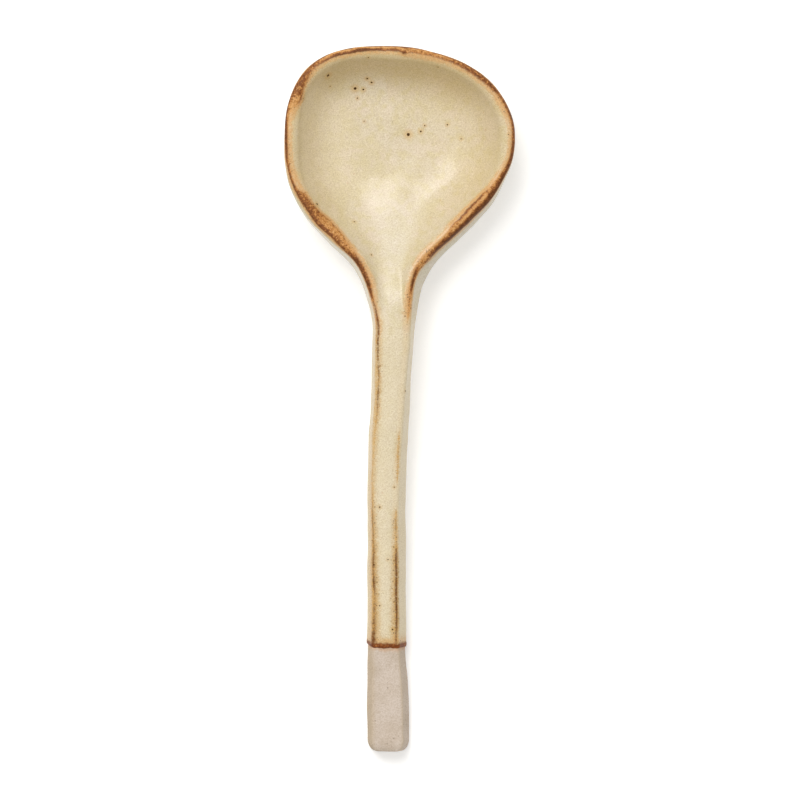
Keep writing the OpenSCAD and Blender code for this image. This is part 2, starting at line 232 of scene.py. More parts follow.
def section(q, side, j):  # share of the ray from the spine to the outline, and height
    ray = np.linalg.norm(outline(q, side) - spine(q), axis=-1)
    dish = byPlace(q, 0, along(spoon["dish"], q - 1), 1)
    tipward = np.sin(quarter(q - 2))
    rimHalf = spoon["rimT"] / 2 * mix(1, spoon["tipRim"], tipward)
    roll = byPlace(q, 1, along(spoon["roll"], q - 1), mix(spoon["roll"][-1], spoon["tipRoll"], tipward))
    skirtShare = byPlace(q, along(spoon["handleSkirt"][side], q), along(spoon["flareSkirt"][side], q - 1), 0)
    inset = rimHalf + spoon["skirtW"] * skirtShare
    inR = mix(spoon["edgeR"], rimHalf * roll, dish)
    rollEnd = np.radians(spoon["rollTurn"])
    inW, inH = inR * np.sin(rollEnd), inR * dish * (1 - np.cos(rollEnd))
    outW = np.minimum(inset, mix(spoon["edgeR"], rimHalf, dish))
    outH = mix(spoon["edgeR"], rimHalf, dish)
    crest, crestZ = ray - inset, rimZ(q)
    onHandle = spoon["handleT"] * spoon["sideDrop"] - spoon["edgeR"]
    sideZ = crestZ - outH - mix(onHandle, spoon["rimT"] * spoon["wallDrop"], dish)
    square = mix(spoon["handleSquare"], spoon["bowlSquare"], dish)

    across = np.sin(quarter(j / rimIn))
    hollowR = (crest - inW) * across
    drop = np.maximum(crestZ - inH - topZ(q), 1e-6)
    power = np.clip((crest - inW) * np.tan(rollEnd) / drop, spoon["roundFloor"], spoon["flatFloor"])
    hollowZ = mix(topZ(q, side, hollowR / ray), crestZ - inH, across**power)
    half = np.clip((j - rimTop) / (rimTop - rimIn), -1, 1)
    turn = half * np.where(half < 0, rollEnd, np.pi / 2)
    rimR = crest + np.where(half < 0, inR, outW) * np.sin(turn)
    rimHeight = crestZ - np.where(half < 0, inR * dish, outH) * (1 - np.cos(turn))
    skirtF = np.clip((j - rimOut) / (sideCol - rimOut), 0, 1)
    skirtR, skirtZ = mix(crest + outW, ray, skirtF), mix(crestZ - outH, sideZ, skirtF)
    turn = quarter((j - sideCol) / (lastCol - sideCol))
    underR = ray * np.cos(turn) ** (2 / square)
    underHeight = mix(sideZ, underZ(q, side, underR / ray), np.sin(turn) ** (2 / square))
    stretch = [j <= rimIn, j <= rimOut, j <= sideCol]
    r = np.select(stretch, [hollowR, rimR, skirtR], underR)
    z = np.select(stretch, [hollowZ, rimHeight, skirtZ], underHeight)
    return r / ray, z


def skin(q, side, j):  # points of the clay's skin, in mm
    share, z = section(q, side, j)
    at = mix(spine(q), outline(q, side), share[..., None])
    return np.concatenate([at, z[..., None]], -1)


halfCols = np.concatenate([
    rimIn * np.arange(sampling["hollow"]) / sampling["hollow"],
    rimIn + (rimOut - rimIn) * np.arange(sampling["rim"]) / sampling["rim"],
    rimOut + (sideCol - rimOut) * np.arange(sampling["skirt"]) / sampling["skirt"],
    sideCol + (lastCol - sideCol) * np.arange(sampling["under"] + 1) / sampling["under"],
])
sideAt = np.array([-1] * (len(halfCols) - 1) + [1] * len(halfCols))
ringCols = np.concatenate([halfCols[:0:-1], halfCols])  # left foot, over the spine, to right foot


def columnOf(j, side):  # ring index of a column place
    return len(halfCols) - 1 + side * int(np.argmin(abs(halfCols - j)))


def ring(q, j):  # whole sections: q and j are grids of rows by ring columns
    left = sideAt < 0
    points = np.empty(q.shape + (3,))
    points[:, left] = skin(q[:, left], -1, j[:, left])
    points[:, ~left] = skin(q[:, ~left], 1, j[:, ~left])
    return points


def facing(points, toTip):  # outward directions of a grid of ring rows
    before = np.concatenate([points[:, -2:-1], points[:, :-1]], 1)
    after = np.concatenate([points[:, 1:], points[:, 1:2]], 1)
    back = np.concatenate([points[:1], points[:-1]], 0)
    beyond = points[-2:-1, ::-1] if toTip else points[-1:]
    ahead = np.concatenate([points[1:], beyond], 0)
    out = np.cross(after - before, ahead - back)
    if toTip:
        folds = [0, out.shape[1] // 2, out.shape[1] - 1]
        out[-1, folds] = out[-2, folds]
    return out / np.maximum(np.linalg.norm(out, axis=-1, keepdims=True), 1e-12)


hand = {  # the maker's unevenness: height in mm, then radians per mm along x, y and z, and a start
    "waves": [
        (0.050, 0.31, 0.13, 0.21, 0.4),
        (0.045, -0.22, 0.34, 0.10, 1.9),
        (0.035, 0.47, -0.29, 0.33, 3.1),
        (0.030, 0.12, 0.58, -0.40, 5.2),
        (0.016, 0.81, 0.66, 0.50, 2.2),
        (0.012, -0.93, 0.88, 0.70, 0.7),
    ],
    "calmBelow": 2.5,
}


def unevenness(points):
    total = np.zeros(points.shape[:-1])
    for height, *pace, start in hand["waves"]:
        total += height * np.sin(points @ np.array(pace) + start)
    return total * smooth(points[..., 2], 0, hand["calmBelow"])  # the resting faces stay true


def insideBox(points):  # nothing leaves the frame's box
    low, high = np.array(cadBox[0]) / mm, np.array(cadBox[1]) / mm
    return np.clip(points, low, high)


# Rows: shares of the way to the tip, evened out where the outline turns
flareRows = 1 + np.arange(1, sampling["flareRows"] + 1) / sampling["flareRows"]
u = np.arange(1, sampling["tipRows"] + 1) / sampling["tipRows"]
even = sampling["tipEven"]
tipRows = 2 + u**even / (u**even + (1 - u) ** even)

dip = {  # the glaze line round the handle, in mm
    "lift": {-1: [0.15, 0.1, 0.15, 0.35, 0.9], 1: [0.15, 0.1, 0.1, 0.12, 0.25]},  # over the top to the side
    "liftBelow": [1, 0.9, 0.75, 0.65],  # shares, from the side to the foot
    "ripples": [(0.07, 2.1, 0.4), (0.04, 5.3, 1.3)],  # height, radians per mm, start
    "settle": 12.0,
    "beadRows": [0, 0.02, 0.06, 0.12, 0.2, 0.3, 0.42, 0.56, 0.72, 0.9, 1.15, 1.4],
    "nearRows": [1.7, 2.1, 2.6, 3.1],
    "roundOff": 0.5,
    "swellAt": 0.8,
    "swellWidth": 0.6,
}


def dipLift(cols):  # how far above bareLen the line lies, for each ring column
    q = np.full(cols.shape, spoon["bareLen"] / spoon["handleLen"])
    lift = np.empty(cols.shape)
    for side in (-1, 1):
        part = sideAt == side
        share = section(q[:, part], side, cols[:, part])[0]
        under = along(dip["liftBelow"], (cols[:, part] - sideCol) / (lastCol - sideCol))
        overTop = along(dip["lift"][side], share)
        lift[:, part] = np.where(cols[:, part] > sideCol, dip["lift"][side][-1] * under, overTop)
    x = ring(q, cols)[..., 0]
    return lift + sum(height * np.sin(pace * x + start) for height, pace, start in dip["ripples"])


handleTop = spoon["handleLen"] - spoon["bareLen"]
steps = round((handleTop - dip["nearRows"][-1]) / sampling["handleStep"])
farRows = list(np.linspace(dip["nearRows"][-1], handleTop, steps + 1)[1:])
rowsAbove = np.array(dip["beadRows"] + dip["nearRows"] + farRows)  # mm above the glaze line
farAbove = 999.0  # stands for any row past the handle
beadEnd = len(dip["beadRows"]) - 1

foot = {"wipeZ": 0.2, "wipeFade": 0.6, "onBowl": (0.9, 1.0)}  # wiped off, in mm, and from which place


def wipeShares(q):  # how far the underside's columns go before the wiped foot begins
    probe = np.linspace(sideCol, lastCol, sampling["footProbes"])
    shares = np.ones(q.shape)
    for side in (-1, 1):
        for row in np.flatnonzero(q[:, -1] > 1):
            z = section(np.full(probe.shape, q[row, -1]), side, probe)[1]
            reach = np.interp(foot["wipeZ"], z[::-1], probe[::-1]) if z[-1] < foot["wipeZ"] else lastCol
            shares[row, sideAt == side] = (reach - sideCol) / (lastCol - sideCol)
    return shares


def mendEnds(out, wiped):  # at the wiped foot the end columns borrow their neighbours' directions
    out[wiped, 0], out[wiped, -1] = out[wiped, 1], out[wiped, -2]
    return out


def glazeGrid():  # places, columns, mm above the dip line, the clay, the coat on it and its directions
    pastHandle = np.concatenate([flareRows, tipRows])
    cols = np.tile(ringCols, (len(rowsAbove) + len(pastHandle), 1))
    above = np.concatenate([rowsAbove, np.full(len(pastHandle), farAbove)])[:, None]
    settled = 1 - smooth(above, 0, dip["settle"])
    onHandle = spoon["bareLen"] + rowsAbove[:, None] + (dipLift(cols) * settled)[: len(rowsAbove)]
    onBowl = np.tile(pastHandle[:, None], cols.shape[1])
    q = np.concatenate([onHandle / spoon["handleLen"], onBowl])
    wipeShare = wipeShares(q)
    cols = np.where(cols > sideCol, sideCol + (cols - sideCol) * wipeShare, cols)
    clay = ring(q, cols)
    wiped = wipeShare[:, 0] < 1
    out = mendEnds(facing(clay, True), wiped)
    clay = clay + out * unevenness(clay)[..., None]
    thick = spoon["glazeT"] * coatShare(cols)
    rise = np.sqrt(1 - (1 - np.clip(above / dip["roundOff"], 0, 1)) ** 2)
    swell = np.exp(-(((above - dip["swellAt"]) / dip["swellWidth"]) ** 2))
    thick = thick * rise * (1 + spoon["beadSwell"] * swell)
    nearFoot = np.sqrt(np.clip((clay[..., 2] - foot["wipeZ"]) / foot["wipeFade"], 0, 1))
    thick = thick * mix(1, nearFoot, smooth(q, *foot["onBowl"]))
    thick[wiped, 0] = thick[wiped, -1] = 0
    coat = insideBox(clay + out * thick[..., None])
    return q, cols, above, insideBox(clay), coat, mendEnds(facing(coat, True), wiped)


glazeQ, glazeCols, glazeAbove, glazeInner, glazeOuter, glazeOut = glazeGrid()
print("glaze drawn:", glazeQ.shape[0], "rows by", glazeQ.shape[1], "columns")

# How the iron breaks through on the edges. Each line is a place along the spoon,
# then in mm where the brown starts and ends, seen from above and measured inwards
# from the silhouette, and how wide the ochre beside it is, then how dark it is from
# its outer edge to its inner one (below 0 there is none), how strong and how flecked.
# Where the middle darks drop between darker ones, on the right from place 1.54 to 1.71 and at the tip, the
# lighter streak is partly the glaze's colour and partly a painted highlight on the rim's crest.
ironBreak = {-1: [
    (0.25, 0.4, 2.5, 1.4, 0.65, 0.85, 0.9, 0.6, 1, 0.9),
    (0.282, 0.8, 2.3, 1.5, 0.4, 0.7, 0.75, 0.5, 1, 0.9),
    (0.3, 0.95, 2.2, 1.3, 0, 0.2, 0.5, 0.5, 1, 0.9),
    (0.34, 1, 2.2, 1.2, -0.1, 0, 0.35, 0.35, 1, 0.9),
    (0.38, 1.1, 2.1, 1.1, -0.1, 0, 0.35, 0.35, 1, 0.9),
    (0.415, 1.05, 2.1, 1.2, -0.1, 0.2, 0.85, 0.75, 1, 1),
    (0.44, 1.05, 2, 1.1, -0.1, 0.05, 0.4, 0.35, 1, 1),
    (0.46, 1, 1.95, 1.1, -0.1, 0.1, 0.7, 0.6, 0.95, 1),
    (0.52, 0.9, 1.75, 1.1, -0.1, 0, 0.35, 0.3, 0.9, 0.8),
    (0.58, 0.8, 1.5, 1.1, -0.1, 0.1, 0.5, 0.4, 0.85, 0.9),
    (0.66, 0.9, 1.25, 1.2, -0.2, 0, 0, -0.2, 0.75, 0.6),
    (0.74, 1.2, 1.55, 1.1, -0.2, 0, 0, -0.2, 0.65, 0.6),
    (0.8, 1.35, 1.8, 1, -0.1, 0.25, 0.2, -0.1, 0.7, 0.6),
    (0.87, 1.4, 1.95, 0.9, 0.2, 0.6, 0.9, 0.6, 0.8, 0.6),
    (0.9, 1.4, 1.95, 0.9, -0.1, 0.1, 0.4, 0.3, 0.7, 0.6),
    (0.925, 1.5, 2.05, 0.9, 0.1, 0.5, 0.85, 0.6, 0.7, 0.8),
    (0.95, 1.25, 1.85, 0.9, 0.05, 0.4, 0.7, 0.4, 0.65, 0.5),
    (1, 1.05, 1.65, 1, 0.4, 0.8, 0.95, 0.7, 0.7, 0.4),
    (1.05, 1.1, 1.75, 1, 0.4, 0.8, 0.95, 0.7, 0.8, 0.4),
    (1.1, 1, 1.7, 1, 0.5, 0.9, 1, 0.7, 0.8, 0.4),
    (1.15, 1.05, 1.6, 1, 0.5, 0.8, 0.85, 0.5, 0.7, 0.5),
    (1.19, 0.95, 1.7, 1.2, 0.2, 0.5, 0.5, 0.2, 0.65, 0.9),
    (1.24, 1, 2, 1.4, 0.6, 0.8, 0.7, 0.3, 0.85, 0.8),
    (1.27, 1, 2.25, 1.4, 0.9, 0.95, 0.75, 0.4, 0.95, 0.6),
    (1.31, 1.05, 2.4, 1.4, 0.9, 0.9, 0.65, 0.35, 0.95, 0.6),
    (1.36, 1.1, 2.5, 1.4, 0.85, 0.85, 0.6, 0.35, 0.95, 0.7),
    (1.4, 1.15, 2.6, 1.3, 0.85, 0.95, 0.75, 0.45, 1, 0.7),
    (1.44, 1.15, 3.1, 1.3, 0.75, 0.35, 0.2, 0.2, 1, 0.9),
    (1.5, 1.4, 4.1, 1.6, 0.75, 0.25, 0.15, 0.3, 1, 0.7),
    (1.57, 1, 4.3, 1.7, 0.75, 0.2, 0.1, 0.25, 1, 0.6),
    (1.63, 1.2, 3.8, 1.4, 0.8, 0.55, 0.5, 0.5, 1, 0.7),
    (1.67, 1.1, 3.3, 1, 0.8, 0.6, 0.55, 0.6, 1, 0.9),
    (1.72, 0.9, 3.1, 1.3, 0.8, 0.5, 0.4, 0.4, 1, 0.8),
    (1.75, 0.85, 1.9, 2, 0.85, 0.6, 0.35, 0.2, 1, 0.6),
    (1.8, 0.8, 1.5, 2.1, 0.85, 0.75, 0.5, 0.2, 1, 0.5),
    (1.87, 0.5, 1.3, 1.6, 0.6, 0.7, 0.5, 0.25, 0.95, 0.8),
    (1.95, 0.2, 1.15, 1.5, 0.6, 0.85, 0.75, 0.3, 0.95, 0.9),
    (2, 0.1, 1.05, 1.3, 0.6, 0.9, 0.75, 0.3, 0.95, 0.6),
    (2.08, 0.1, 0.95, 1.6, 0.65, 0.85, 0.75, 0.25, 0.95, 0.4),
    (2.13, 0.1, 1.2, 2, 0.95, 0.6, 0.1, -0.1, 1, 0.6),
    (2.18, 0.1, 2, 1.8, 0.95, 0.2, 0, 0, 1, 0.9),
    (2.21, 0.1, 2.7, 1.4, 0.9, 0.15, 0.05, 0.3, 1, 1),
    (2.25, 0.1, 3.2, 1.2, 0.65, 0.2, 0.25, 0.6, 1, 1),
    (2.3, 0.2, 2.8, 1, 0.6, 0.6, 0.55, 0.6, 1, 0.8),
    (2.35, 0.2, 2.5, 1, 0.6, 0.6, 0.6, 0.55, 1, 0.7),
    (2.42, 0.2, 2.3, 1, 0.6, 0.7, 0.6, 0.45, 0.95, 0.7),
    (2.5, 0.2, 1.7, 1.2, 0.6, 0.6, 0.45, 0.4, 0.95, 0.7),
    (2.57, 0.15, 1.5, 1.2, 0.75, 0.4, 0.4, 0.65, 0.9, 0.6),
    (2.65, 0.1, 1.5, 1.1, 0.95, 0.05, 0.55, 0.85, 0.95, 0.4),
    (2.78, 0.05, 1.5, 1.3, 0.95, -0.1, 0.55, 0.95, 1, 0.3),
    (2.9, 0.05, 1.5, 1, 1, -0.05, 0.85, 1.15, 1, 0.3),
    (3, 0.05, 1.35, 1, 0.95, -0.1, 0.7, 1, 1, 0.3),
], 1: [
    (0.25, 2.2, 3.1, 1.2, 0.5, 0.5, 0.5, 0.4, 1, 1),
    (0.28, 2.25, 3, 1.3, 0.2, 0.5, 0.5, 0.1, 1, 1),
    (0.32, 2.1, 2.95, 1.2, 0.3, 0.75, 0.65, 0.3, 0.95, 1),
    (0.36, 2.05, 2.9, 1.1, 0.45, 0.85, 0.75, 0.3, 0.9, 1),
    (0.42, 2.05, 2.9, 1.1, 0.45, 0.85, 0.75, 0.3, 0.85, 1),
    (0.48, 2.1, 2.95, 1.1, 0.4, 0.8, 0.7, 0.3, 0.8, 1),
    (0.515, 2.35, 2.75, 1, 0, 0.25, 0.2, -0.1, 0.7, 0.8),
    (0.55, 2.3, 2.75, 1, 0.2, 0.6, 0.45, 0, 0.7, 0.9),
    (0.58, 2.3, 2.6, 0.9, 0.1, 0.4, 0.25, -0.1, 0.6, 0.8),
    (0.6, 2.3, 2.5, 1, -0.5, -0.5, -0.5, -0.5, 0.15, 0.4),
    (0.64, 2.2, 2.4, 1, -0.5, -0.5, -0.5, -0.5, 0.1, 0.3),
    (0.67, 2.1, 2.4, 0.9, 0, 0.1, 0.1, 0, 0.35, 0.5),
    (0.72, 2.1, 2.45, 0.9, 0.2, 0.3, 0.3, 0.1, 0.5, 0.5),
    (0.77, 2.15, 2.4, 0.9, 0, 0.1, 0.1, 0, 0.3, 0.4),
    (0.8, 2.1, 2.3, 1, -0.5, -0.5, -0.5, -0.5, 0.15, 0.3),
    (0.9, 1.9, 2.1, 1, -0.5, -0.5, -0.5, -0.5, 0.12, 0.3),
    (1.02, 1.7, 1.9, 1.1, -0.5, -0.5, -0.5, -0.5, 0.2, 0.5),
    (1.08, 1.7, 2.1, 1.3, -0.3, -0.3, -0.3, -0.3, 0.4, 0.8),
    (1.13, 1.6, 2.6, 1.3, -0.2, 0, 0, -0.2, 0.6, 1),
    (1.18, 1.8, 2.8, 1.3, 0, 0.1, 0.1, 0, 0.8, 1),
    (1.22, 2, 3, 1.3, 0.1, 0.3, 0.2, 0.1, 0.95, 1),
    (1.25, 2.1, 3.1, 1.2, 0.4, 0.8, 0.7, 0.3, 1, 0.6),
    (1.29, 2.3, 3.3, 1.2, 0.5, 0.85, 0.85, 0.5, 1, 0.5),
    (1.325, 2.5, 3.6, 1.2, 0.3, 0.7, 0.8, 0.5, 1, 0.6),
    (1.345, 2.2, 3.7, 1.2, 0.2, 0.35, 0.35, 0.2, 1, 0.9),
    (1.385, 1.8, 3.6, 1.4, 0.25, 0.3, 0.15, 0.1, 1, 1),
    (1.415, 1.45, 3.2, 1.6, 0.7, 0.75, 0.4, 0.2, 1, 0.8),
    (1.45, 1.35, 3.1, 1.7, 0.85, 0.9, 0.65, 0.2, 1, 0.4),
    (1.5, 1.4, 3.2, 1.6, 0.9, 0.95, 0.6, 0.15, 1, 0.4),
    (1.54, 1.35, 3.85, 1.6, 0.9, 0.95, 0.05, 0.45, 1, 0.4),
    (1.6, 1.25, 3.9, 1.7, 0.9, 0.95, 0, 0.75, 1, 0.4),
    (1.66, 1.05, 3.9, 1.6, 0.9, 0.95, 0, 0.8, 1, 0.4),
    (1.71, 0.85, 3.7, 1.5, 0.9, 0.9, 0.05, 0.65, 1, 0.4),
    (1.75, 0.7, 2.9, 1.3, 0.9, 0.9, 0.35, 0.1, 1, 0.3),
    (1.8, 0.5, 2.2, 1.3, 0.85, 0.9, 0.45, 0.15, 1, 0.3),
    (1.85, 0.3, 1.5, 1.4, 0.8, 0.85, 0.55, 0.3, 1, 0.3),
    (1.92, 0.1, 1.1, 1.3, 0.5, 0.75, 0.7, 0.3, 0.95, 0.3),
    (2, 0.05, 0.95, 1.2, 0.45, 0.7, 0.7, 0.35, 0.9, 0.4),
    (2.1, 0.05, 0.9, 1.4, 0.45, 0.65, 0.65, 0.3, 0.9, 0.5),
    (2.2, 0.1, 1, 1.9, 0.5, 0.65, 0.6, 0.2, 1, 0.8),
    (2.3, 0.1, 1.1, 1.8, 0.5, 0.65, 0.6, 0.3, 1, 0.8),
    (2.36, 0.2, 1.4, 1.2, 0.5, 0.7, 0.7, 0.5, 1, 0.6),
    (2.45, 0.2, 1.7, 1.2, 0.7, 0.5, 0.75, 0.75, 0.95, 0.6),
    (2.55, 0.2, 1.65, 1.2, 0.75, 0.35, 0.7, 0.7, 0.95, 0.6),
    (2.65, 0.15, 1.4, 1.3, 0.8, 0.3, 0.6, 0.6, 0.95, 0.6),
    (2.72, 0.05, 1.2, 1.6, 0.85, 0.2, 0.4, 0.6, 0.95, 0.5),
    (2.8, 0.05, 1.45, 1.8, 0.85, 0.2, 0.3, 0.5, 1, 0.5),
    (2.88, 0.05, 1.6, 1.5, 0.85, 0.15, 0.25, 0.55, 1, 0.6),
    (2.9, 0.05, 2.2, 1.2, 0.85, 0.1, 0.6, 0.8, 1, 0.5),
    (2.92, 0.05, 1.5, 1.2, 0.85, 0, 0.4, 0.8, 0.95, 0.4),
    (3, 0.05, 1.35, 1, 0.85, -0.2, 0.6, 0.9, 0.95, 0.3),
]}
darkSpots = (0.1, 0.4, 0.7, 0.95)  # where across the brown the four darks stand
ochreOutside = {-1: (0.4, 2.0), 1: (1.5, 1.6)}  # how much faster the ochre fades outside: handle, bowl
ochreTurns = (1.15, 1.3)  # the places between which it changes over
leastBrown = 0.05  # mm across
runsDown = 0.3  # mm that the brown runs down the outside of the rim
dipStain = {"core": 1.35, "halo": 2.1, "dark": 0.75, "strong": 1.0, "fleck": 0.6, "blend": 0.6}
breakColumns = ("place", "start", "end", "halo", "dark0", "dark1", "dark2", "dark3", "strong", "fleck")


def breakAt(column):  # a column of ironBreak read all over the glaze grid
    read = []
    for side in (-1, 1):
        stops = np.array(ironBreak[side]).T
        read.append(np.interp(glazeQ, stops[0], stops[breakColumns.index(column)]))
    return np.where(sideAt < 0, *read)


def rimGaps(points, out):  # mm to the nearest edge of the brown, below 0 inside it, and the share across it
    starts, ends = breakAt("start"), breakAt("end")
    lengths = np.linalg.norm(np.diff(points, axis=1), axis=-1)
    run = np.concatenate([[[0]] * len(points), lengths], 1).cumsum(1)
    gaps, shares = np.empty(run.shape), np.empty(run.shape)
    for side in (-1, 1):
        inward = np.arange(columnOf(sideCol, side), columnOf(0, side) - side, -side)
        part = sideAt == side
        edgeAt = inward[0]
        across = out[:, edgeAt, :2] / np.linalg.norm(out[:, edgeAt, :2], axis=-1, keepdims=True)
        seen = np.einsum("ick,ik->ic", points[:, edgeAt : edgeAt + 1, :2] - points[:, inward, :2], across)
        seen = np.maximum.accumulate(seen, 1)
        deep = abs(run - run[:, edgeAt : edgeAt + 1])
        outside = np.where(np.arange(run.shape[1])[part] * side > edgeAt * side, -1, 1)
        for row in range(len(points)):
            place = deep[row, part] * outside
            first, last = [np.interp(v[row, edgeAt], seen[row], deep[row, inward]) for v in (starts, ends)]
            first = max(first, deep[row, columnOf(rimOut, side)] - runsDown)
            narrow = mix(*ochreOutside[side], smooth(glazeQ[row, edgeAt], *ochreTurns))
            gaps[row, part] = np.maximum(place - last, (first - place) * narrow)
            shares[row, part] = (place - first) / max(last - first, leastBrown)
    return gaps, shares


# Where each tint, painted highlight, painted light and painted shade shows in the cream: how much,
# with left as -1, then what it follows and the two values over which it comes in or goes. A place runs from 0
# to 3 along the spoon.
patches = {
    # painted highlight on the slope from the neck down into the bowl, near the spine
    "lowEnd": (0.38, ("y", 30, 38), ("y", 54, 44), ("column", 4, 1.5)),
    # painted light on the bowl's outer wall, lightened where it stands in shade
    "bowlOutside": (0.4, ("place", 1.1, 1.35), ("column", 11.5, 12.5)),
    "farWalls": (1.0, ("column", {-1: 3.0, 1: 1.2}, 5.8), ("column", 10.5, 9), ("place", 1.45, 1.75)),
    "towardsTip": (1.0, ("place", 2.15, 2.6)),
    # painted shade on the handle's sloping sides, faint below them
    "bevels": ({-1: 0.9, 1: 0.8}, ("column", 10.5, 12.2), ("place", 1.25, 1.0)),
    "belowBevels": (1.0, ("column", 13, 15)),
    # painted light on the handle, lighter where the lamp reaches it less
    "handle": (1.0, ("place", 1.25, 0.9)),
    # where the handle's painted light is held back, on its bevels
    "coolSides": ({-1: 0.8, 1: 0.2}, ("column", 10.5, 12.2)),
    # painted light on the bowl's left inner wall
    "leftWall": ({-1: 0.6, 1: 0.0}, ("column", 2, 3.5), ("column", 7.8, 6.5),
                 ("place", 1.55, 1.85), ("place", 2.6, 2.3)),
    "olive": (1.0, ("place", 1.12, 0.95), ("place", 0.24, 0.3)),
}
# how strong: glaze pooled on the far walls by the neck and at the tip, painted shade on the bevels and below
# them
pooling = {"farWalls": (0.4, 0.76), "bevels": (1.0, 0.12)}  # by the neck and at the tip, on and below them


def bySide(value):  # one value for both sides, or one for each
    return np.where(sideAt > 0, value[1], value[-1]) if isinstance(value, dict) else value


def patch(name):  # how much a tint shows, all over the glaze grid
    follows = {"y": glazeOuter[..., 1], "place": glazeQ, "column": glazeCols}
    amount, *fades = patches[name]
    shown = bySide(amount)
    for what, low, high in fades:
        shown = shown * smooth(follows[what], bySide(low), high)
    return shown


rimGap, rimShare = rimGaps(glazeOuter, glazeOut)
rimDark = breakAt("dark0")
for spot in range(1, len(darkSpots)):
    between = smooth(rimShare, darkSpots[spot - 1], darkSpots[spot])
    rimDark = mix(rimDark, breakAt(f"dark{spot}"), between)
dipGap = np.broadcast_to(glazeAbove, rimGap.shape) - dipStain["core"]
byDip = smooth(rimGap - dipGap, -dipStain["blend"], dipStain["blend"])
rimStain = {"halo": breakAt("halo"), "dark": rimDark, "strong": breakAt("strong"), "fleck": breakAt("fleck")}
glazeMarks = {
    "gap": np.minimum(rimGap, dipGap),
    **{key: mix(rimStain[key], dipStain[key], byDip) for key in rimStain},
    # pooled glaze on the far walls, and painted shade on the handle's bevels
    "pool": np.maximum(
        patch("farWalls") * mix(*pooling["farWalls"], patch("towardsTip")),
        patch("bevels") * mix(*pooling["bevels"], patch("belowBevels")),
    ),
    # pale is painted light: a painted highlight on the neck and the bowl's outer wall lightened
    "pale": np.maximum(patch("lowEnd"), patch("bowlOutside")),
    # painted light: the handle and the bowl's left inner wall lightened
    "warm": np.maximum(patch("handle") * (1 - patch("coolSides")), patch("leftWall")),
    "olive": patch("olive"),
}


def linked(name, data):  # a new object in the scene
    item = bpy.data.objects.new(name, data)
    bpy.context.scene.collection.objects.link(item)
    return item


def readLayer(mesh, key, kind=np.float32):
    data = mesh.attributes[key].data
    found = np.empty(len(data), kind)
    data.foreach_get("value", found)
    return found


def writeLayer(mesh, key, values, kind="FLOAT", domain="POINT"):
    values = np.asarray(values).astype(np.float32 if kind == "FLOAT" else np.int32)
    mesh.attributes.new(key, kind, domain).data.foreach_set("value", values)


def shadeByGrid(mesh):  # so neighbouring pieces shade as one surface
    vertexOf = np.empty(len(mesh.loops), np.int32)
    mesh.loops.foreach_get("vertex_index", vertexOf)
    sizes = np.empty(len(mesh.polygons), np.int32)
    mesh.polygons.foreach_get("loop_total", sizes)
    seen = np.repeat(readLayer(mesh, "kind", np.int32), sizes)
    out = np.stack([readLayer(mesh, key) for key in ("outX", "outY", "outZ")], -1)
    mesh.normals_split_custom_set((out[vertexOf] * seen[:, None]).tolist())
    for key in ("outX", "outY", "outZ", "kind"):
        mesh.attributes.remove(mesh.attributes[key])


def meshPiece(name, points, faces, marks, kinds=None):  # merges doubles; kinds ask for the grid's shading
    mesh = bpy.data.meshes.new(name)
    mesh.from_pydata((points * mm).tolist(), [], faces)
    for key, values in marks.items():
        writeLayer(mesh, key, values)
    if kinds is not None:
        writeLayer(mesh, "kind", kinds, "INT", "FACE")
    work = bmesh.new()
    work.from_mesh(mesh)
    bmesh.ops.remove_doubles(work, verts=work.verts, dist=weld)
    work.to_mesh(mesh)
    work.free()
    mesh.shade_smooth()
    if kinds is not None:
        shadeByGrid(mesh)
    return linked(name, mesh)


def numbersOf(rows, cols, first=0):
    return first + np.arange(rows * cols).reshape(rows, cols)


def quadsOf(numbers):
    corners = [numbers[:-1, :-1], numbers[:-1, 1:], numbers[1:, 1:], numbers[1:, :-1]]
    return np.stack(corners, -1).reshape(-1, 4)


def glazePiece(name, rows, spans):  # closed shell of a part of the glaze grid, one block for each span
    verts, faces, kinds, outs = [], [], [], []
    marks = {key: [] for key in glazeMarks}
    first, last = rows
    for start, end in spans:
        block = (slice(first, last + 1), slice(start, end + 1))
        numbers = numbersOf(last - first + 1, end - start + 1, sum(len(v) for v in verts))
        verts += [glazeOuter[block].reshape(-1, 3), glazeInner[block].reshape(-1, 3)]
        outs += [glazeOut[block].reshape(-1, 3)] * 2
        for key in marks:
            marks[key] += [glazeMarks[key][block].ravel()] * 2
        edges = [numbers[0]]
        if end - start < lastIndex:  # a whole ring has no long edges
            edges += [numbers[:, -1], numbers[::-1, 0]]
        if last < lastRow:
            edges.append(numbers[-1, ::-1])
        outer, layer = quadsOf(numbers), numbers.size
        hidden = [outer[:, [0, 3, 2, 1]] + layer]
        for edge in edges:
            hidden.append(np.stack([edge[1:], edge[:-1], edge[:-1] + layer, edge[1:] + layer], -1))
        faces += [outer] + hidden
        kinds += [1] * len(outer) + [0] * sum(len(part) for part in hidden)
    marks = {key: np.concatenate(parts) for key, parts in marks.items()}
    marks["outX"], marks["outY"], marks["outZ"] = np.concatenate(outs).T
    return meshPiece(name, np.concatenate(verts), np.concatenate(faces).tolist(), marks, kinds)


insides, outsides = [[columnOf(j, side) for side in (-1, 1)] for j in (rimIn, rimOut)]
lastRow, lastIndex = len(glazeQ) - 1, len(ringCols) - 1
pastBead = (beadEnd, lastRow)
topGlaze = glazePiece("topGlaze", pastBead, [insides])
rimGlaze = glazePiece("rimGlaze", pastBead, [(outsides[0], insides[0]), (insides[1], outsides[1])])
undersideGlaze = glazePiece("undersideGlaze", pastBead, [(0, outsides[0]), (outsides[1], lastIndex)])
dipBead = glazePiece("dipBead", (0, beadEnd), [(0, lastIndex)])
print("glaze pieces made")


